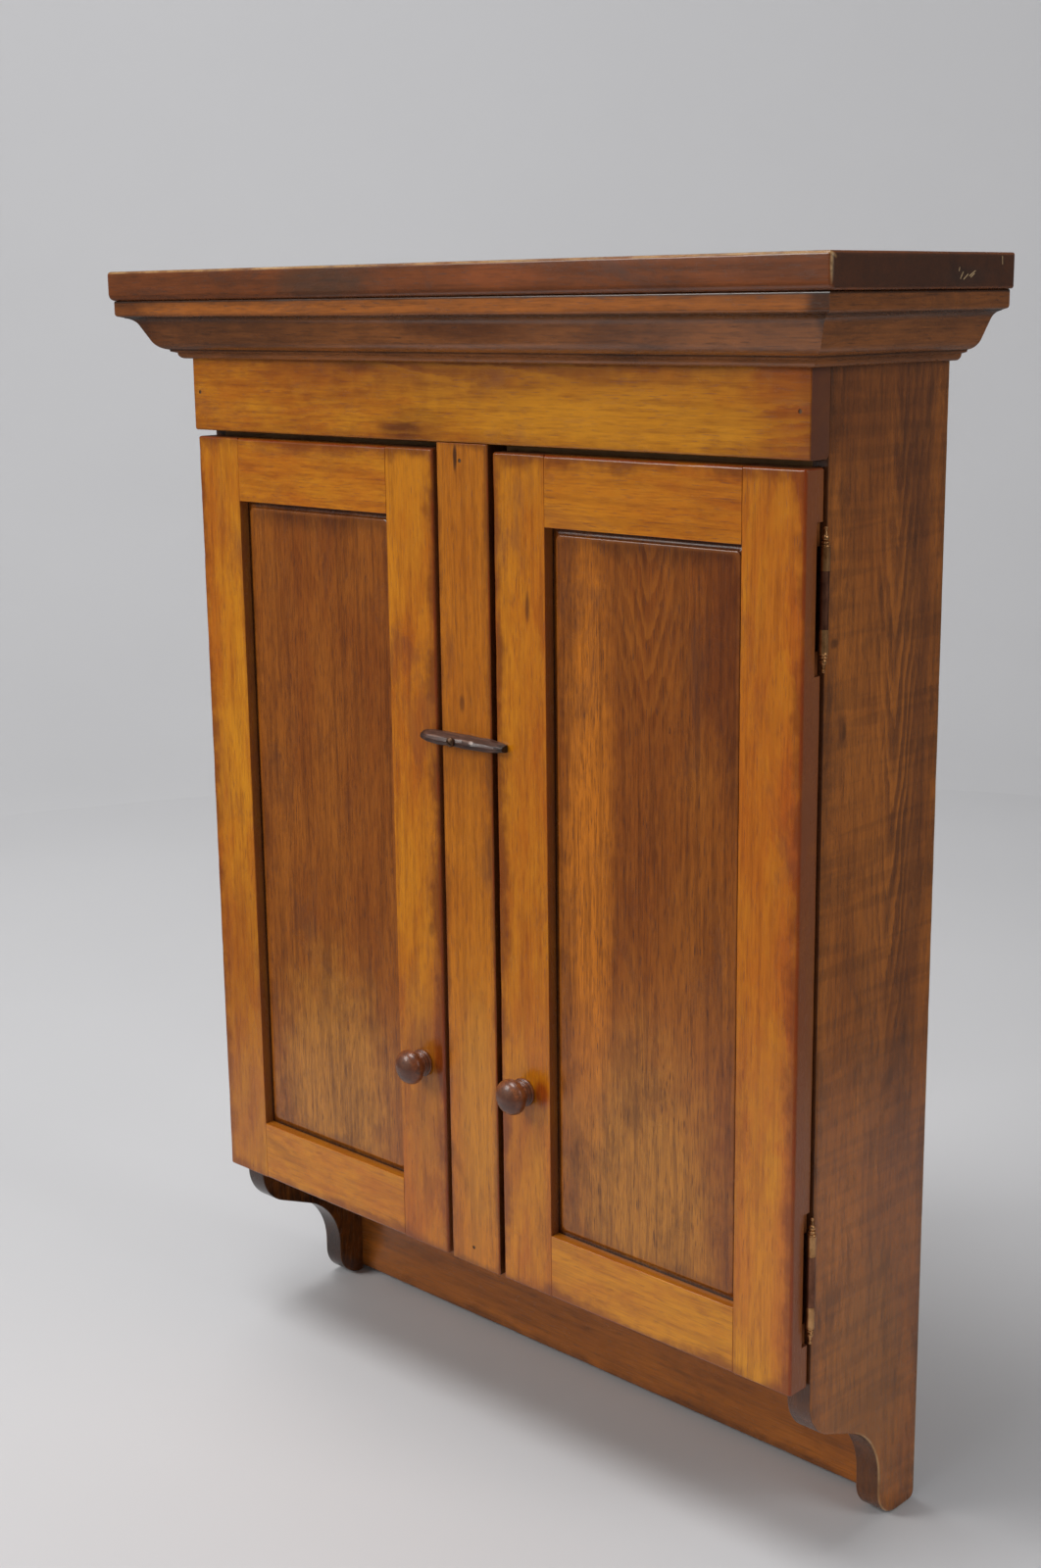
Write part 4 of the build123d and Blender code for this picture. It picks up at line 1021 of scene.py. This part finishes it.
def knob(side, hand):
    """Turned knob: ringed base, waisted neck and domed head, dark with handling."""
    node = f"{side}_knob"
    low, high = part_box(node)
    centre = Vector(((low.x + high.x) / 2, FRONT_Y, (low.z + high.z) / 2))
    tail = -(high.y - FRONT_Y) / MM
    profile = [(0.2, tail), (4.6, tail), (4.98, tail + 0.4), (4.98, -0.2), (4.98, 0.0), (11.2, 0.0)]
    profile += arc((11.0, 1.35), (0.85, 1.35), -80, 75, 8)
    profile += [(10.3, 2.75), (10.1, 3.0)]
    profile += arc((9.6, 4.15), (0.95, 1.1), -70, 80, 7)
    neck, _ = tangent_arc((9.2, 5.5), (8.5, 9.0), (-0.35, 1), 8)
    flare, _ = tangent_arc((8.5, 9.0), (12.6, 12.7), (0.1, 1), 8)
    profile += [tuple(p) for p in neck + flare[1:]]
    profile += arc((13.0, 14.4), (1.75, 1.9), -70, 10, 8)
    profile += arc((0.0, 15.4), (14.8, 9.6), 3, 89, 30)
    profile = [(max(0.15, radius) * MM, height * MM) for radius, height in profile]
    piece = lathe(f"{node}_turning", profile, centre, ROOMWARD, KNOB_SIDES)
    piece.data.set_sharp_from_angle(angle=math.radians(50))
    # a painted highlight at the upper right of the head and painted shade at its lower left
    spots = [spot(centre.x + 3 * MM, low.y, centre.z + 6 * MM, (9, 9, 6), rgb(176, 116, 74), 0.5),
             spot(centre.x - 4 * MM, low.y, centre.z - 8 * MM, (8, 9, 6), rgb(64, 30, 20), 0.5)]
    look = wood(f"{node}_look", Y, TURNED, 12.0 + hand, across=Z, heart=centre.z, depth=0.002, taper=0.3,
                rings=380, flame=0.4, flame_light=False, blotch=1.0, smudge=0.6, fibre=0.8, gloss=0.3,
                coat=0.3, spots=spots)
    settle(piece, node, look)


def doors():
    """Both doors with their frames, panels and knobs."""
    for side, hand, seed in (("right", 1, 30.0), ("left", -1, 40.0)):
        door_frame(side, hand, seed)
        door_panel(side, hand, seed + 5)
        knob(side, hand)


# ---- turn button -----------------------------------------------------------------
def turn_button():
    """Whittled bar whose knife facets differ along its length."""
    low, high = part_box("turn_button")
    length, thick, half = high.x - low.x, high.y - low.y, (high.z - low.z) / 2
    middle, middle_y = (low.z + high.z) / 2, (low.y + high.y) / 2
    # share of the length, of the half height and of the thickness
    bar = [(0.0, 0.5, 0.5), (0.03, 0.68, 0.7), (0.12, 0.88, 0.9), (0.27, 0.97, 1.0), (0.42, 0.9, 1.0),
           (0.55, 0.98, 0.9), (0.68, 0.86, 1.0), (0.8, 0.9, 0.86), (0.92, 0.68, 0.84), (1.0, 0.5, 0.62)]
    facets = [(-1.0, 0.0), (-1.0, 0.42), (-0.62, 0.93), (-0.1, 1.0), (0.5, 0.9), (1.0, 0.45), (1.0, 0.0)]
    vertices = []
    for index, (share, tall, out) in enumerate(bar):
        for spoke, (up, forward) in enumerate(facets):
            shake = 0.75 * MM * ripple((index * 1.7, spoke * 2.3, 0.5), 1.0)
            z = middle + half * tall * up * 0.97 + shake * tall
            y = high.y - (thick * out - 0.4 * MM) * forward + (shake if forward else 0.0)
            x = low.x + share * length + (1.6 * shake if 0 < share < 1 else 0.0)
            vertices.append((x, max(low.y, y), max(low.z, min(high.z, z))))
    piece = mesh_object("turn_button_bar", vertices, skin(vertices, len(facets)))
    bake_modifiers(ease(piece, 0.45 * MM, 9))
    seat = middle_of("turn_button_screw")
    seat.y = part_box("turn_button_screw")[0].y + 2.8 * MM
    ridge, face = middle + 2.6 * MM, low.y + 1 * MM
    spots = [
        spot(low.x + 0.67 * length, face, middle + 2.4 * MM, (4, 3, 2.4), rgb(206, 186, 176), 0.85),
        spot(low.x + 0.58 * length, face, ridge, (13, 3, 1.8), rgb(166, 130, 112), 0.6),
        spot(low.x + 0.2 * length, face, ridge, (14, 3, 1.6), rgb(150, 116, 100), 0.5),
        spot(low.x, middle_y, middle, (9, 20, 20), BLACK_BROWN, 0.95),
        spot(high.x, middle_y, middle, (6, 20, 20), BLACK_BROWN, 0.95),
        spot(seat.x, low.y, middle, (6.5, 4, 6.5), BLACK_BROWN, 0.95),
    ]
    look = wood("turn_button_look", X, WHITTLED, 15.0, across=Z, taper=0.2, rings=300, flame=0.35, blotch=1.4,
                flame_light=False, smudge=0.9, fibre=1.0, gloss=0.34, coat=0.1, spots=spots)
    settle(piece, "turn_button", look)
    shank, head = 2.05 * MM, 4.6 * MM
    bore = [(shank, -20 * MM), (shank, 0), (head, 0), (head, 9 * MM)]
    cut_away(piece, [lathe("cutter", bore, seat - 0.2 * MM * ROOMWARD, ROOMWARD, 40)])


# ---- inside and back -------------------------------------------------------------
def plain_board(node, width, along, tones, seed, **looks):
    """A board with its CAD shape, its edges eased by this many millimetres, and no varnish."""
    look = wood(f"{node}_look", along, tones, seed, flame_light=False, **looks)
    settle(eased_copy(f"{node}_wood", node, width), node, look)


def inner_boards():
    """Plain boards that only show with the doors open or from behind."""
    for index in range(1, 6):
        node = f"back_board_{index}"
        low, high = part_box(node)
        plain_board(node, 0.7, Z, INSIDE_BOARDS[index % 3], 50.0 + 3 * index,
                    heart=(low.x + high.x) / 2 + 0.01 * (index - 3), depth=0.01,
                    taper=-0.08 if index % 2 else 0.06, rings=120, flame=0.6, smudge=0.4, gloss=0.62)
    for seed, node in enumerate(("hanging_rail", "front_rail", "bottom_board", "upper_shelf", "lower_shelf")):
        low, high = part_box(node)
        across = Z if high.z - low.z > high.y - low.y else Y
        plain_board(node, 0.8, X, INSIDE, 70.0 + 3 * seed, across=across,
                    heart=(low[across] + high[across]) / 2, depth=0.01, taper=0.06, rings=120, flame=0.5,
                    smudge=0.4, gloss=0.6)
    for seed, corner in enumerate(("left_lower", "left_upper", "right_lower", "right_upper")):
        plain_board(f"{corner}_cleat", 0.6, Y, INSIDE, 90.0 + 3 * seed, across=Z, flame=0.3, gloss=0.6)


# ---- metal -----------------------------------------------------------------------
def metal_parts():
    """Brass on the hinges and their screws, dark iron on nails, pins and other screws."""
    old_brass = metal("brass_look", rgb(224, 172, 118), rgb(146, 96, 56), rgb(52, 30, 20), 3.0)
    # a darker copy of the brass on the door leaves: painted shade
    shaded_brass = metal("shaded_brass_look", rgb(150, 102, 78), rgb(84, 52, 42), rgb(34, 20, 16), 5.0,
                        0.36)
    iron = metal("iron_look", rgb(118, 92, 74), rgb(74, 54, 42), rgb(26, 18, 14), 8.0, 0.42)
    for node, slot in SLOTS.items():
        if slot == "brass":
            paint_node(node, shaded_brass if node.endswith("door_leaf") else old_brass)
        elif slot == "iron":
            paint_node(node, iron)


# ---- stage, light and camera -----------------------------------------------------
def plain_paint(name, colour, rough):
    """Matt paint with the faintest unevenness."""
    shader = Shader(name)
    cloud = shader.noise(shader.place, 1.3, 3.0)
    deeper = tuple(value * 0.94 for value in colour[:3]) + (1.0,)
    return shader.surface(Base_Color=shader.mix(deeper, colour, cloud),
                          Roughness=cloud.ramp(0.2, 0.8, rough - 0.05, rough + 0.05))


def revolved_sheet(name, profile, segments=96):
    """An open sheet of revolution about the vertical axis, standing on the object's lowest level."""
    turns = [math.tau * step / segments for step in range(segments)]
    vertices = [(radius * math.cos(turn), radius * math.sin(turn), FLOOR_Z + height)
                for radius, height in profile for turn in turns]
    faces = skin(vertices, segments, closed=False)
    if profile[0][0] < 0.1:
        faces.append(tuple(reversed(range(segments))))
    return mesh_object(name, vertices, faces)


def backdrop():
    """A round pale floor and a pale wall all the way round; only the near floor shows in the varnish."""
    near, radius, curve, height = 1.15, 4.8, 2.4, 4.0
    sweep = arc((radius - curve, curve), (curve, curve), -90, 0, 15)
    sheets = {
        "backdrop_near_floor": [(r, 0.0) for r in [0.01] + span(0.4, near, 0.4)],
        "backdrop_far_floor": [(r, 0.0) for r in span(near, radius - curve, 0.6)],
        "backdrop_wall": sweep + [(radius, height)],
    }
    paint = plain_paint("backdrop_paint", rgb(206, 206, 208), 0.65)
    for name, line in sheets.items():
        sheet = revolved_sheet(name, line)
        sheet.data.materials.append(paint)
        sheet.visible_glossy = name == "backdrop_near_floor"


def soft_light(name, place, target, size, power, colour=(1.0, 1.0, 1.0)):
    """A rectangular area lamp that looks at a point."""
    lamp = bpy.data.lights.new(name, "AREA")
    lamp.shape = "RECTANGLE"
    lamp.size, lamp.size_y = size
    lamp.energy = power
    lamp.color = colour
    obj = placed(name, lamp)
    obj.location = place
    obj.rotation_mode = "QUATERNION"
    obj.rotation_quaternion = (Vector(target) - Vector(place)).to_track_quat("-Z", "Y")


def lights():
    """A broad ceiling light, a key from the front left, an even fill and a wash on the wall."""
    middle = (0.0, -0.1, -0.4)
    soft_light("ceiling", (-0.3, -1.0, 2.6), middle, (1.7, 1.2), 66.0)
    soft_light("key", (-1.9, -3.0, 1.5), middle, (1.4, 1.6), 76.0, (1.0, 0.99, 0.97))
    soft_light("side_fill", (3.2, 0.2, 1.4), middle, (1.4, 1.8), 28.0)
    soft_light("wall_wash", (-2.2, 0.6, 2.7), (-2.6, 3.2, 0.6), (2.6, 1.2), 48.0)
    world = bpy.data.worlds.new("room")
    world.use_nodes = True
    background = world.node_tree.nodes["Background"]
    background.inputs["Color"].default_value = (1.0, 1.0, 1.0, 1.0)
    background.inputs["Strength"].default_value = 0.12
    bpy.context.scene.world = world


def camera():
    """Looks down a little at the cupboard's right front corner, tilted by a hair."""
    turn, drop, roll = (math.radians(value) for value in (CAMERA_AZIMUTH, CAMERA_DROP, CAMERA_ROLL))
    forward = Vector((-math.sin(turn) * math.cos(drop), math.cos(turn) * math.cos(drop), -math.sin(drop)))
    level = Vector((math.cos(turn), math.sin(turn), 0))
    upward = level.cross(forward)
    right = level * math.cos(roll) + upward * math.sin(roll)
    above = upward * math.cos(roll) - level * math.sin(roll)
    data = bpy.data.cameras.new("camera")
    data.lens = CAMERA_LENS
    data.clip_start, data.clip_end = 0.05, 30
    obj = placed("camera", data)
    obj.matrix_world = Matrix((right, above, -forward)).transposed().to_4x4()
    obj.location = CAMERA_PLACE
    bpy.context.scene.camera = obj
    bpy.context.scene.view_settings.view_transform = "Standard"


top_board()
frieze()
centre_stile()
apron()
sides()
cornice()
doors()
turn_button()
inner_boards()
metal_parts()
backdrop()
lights()
camera()
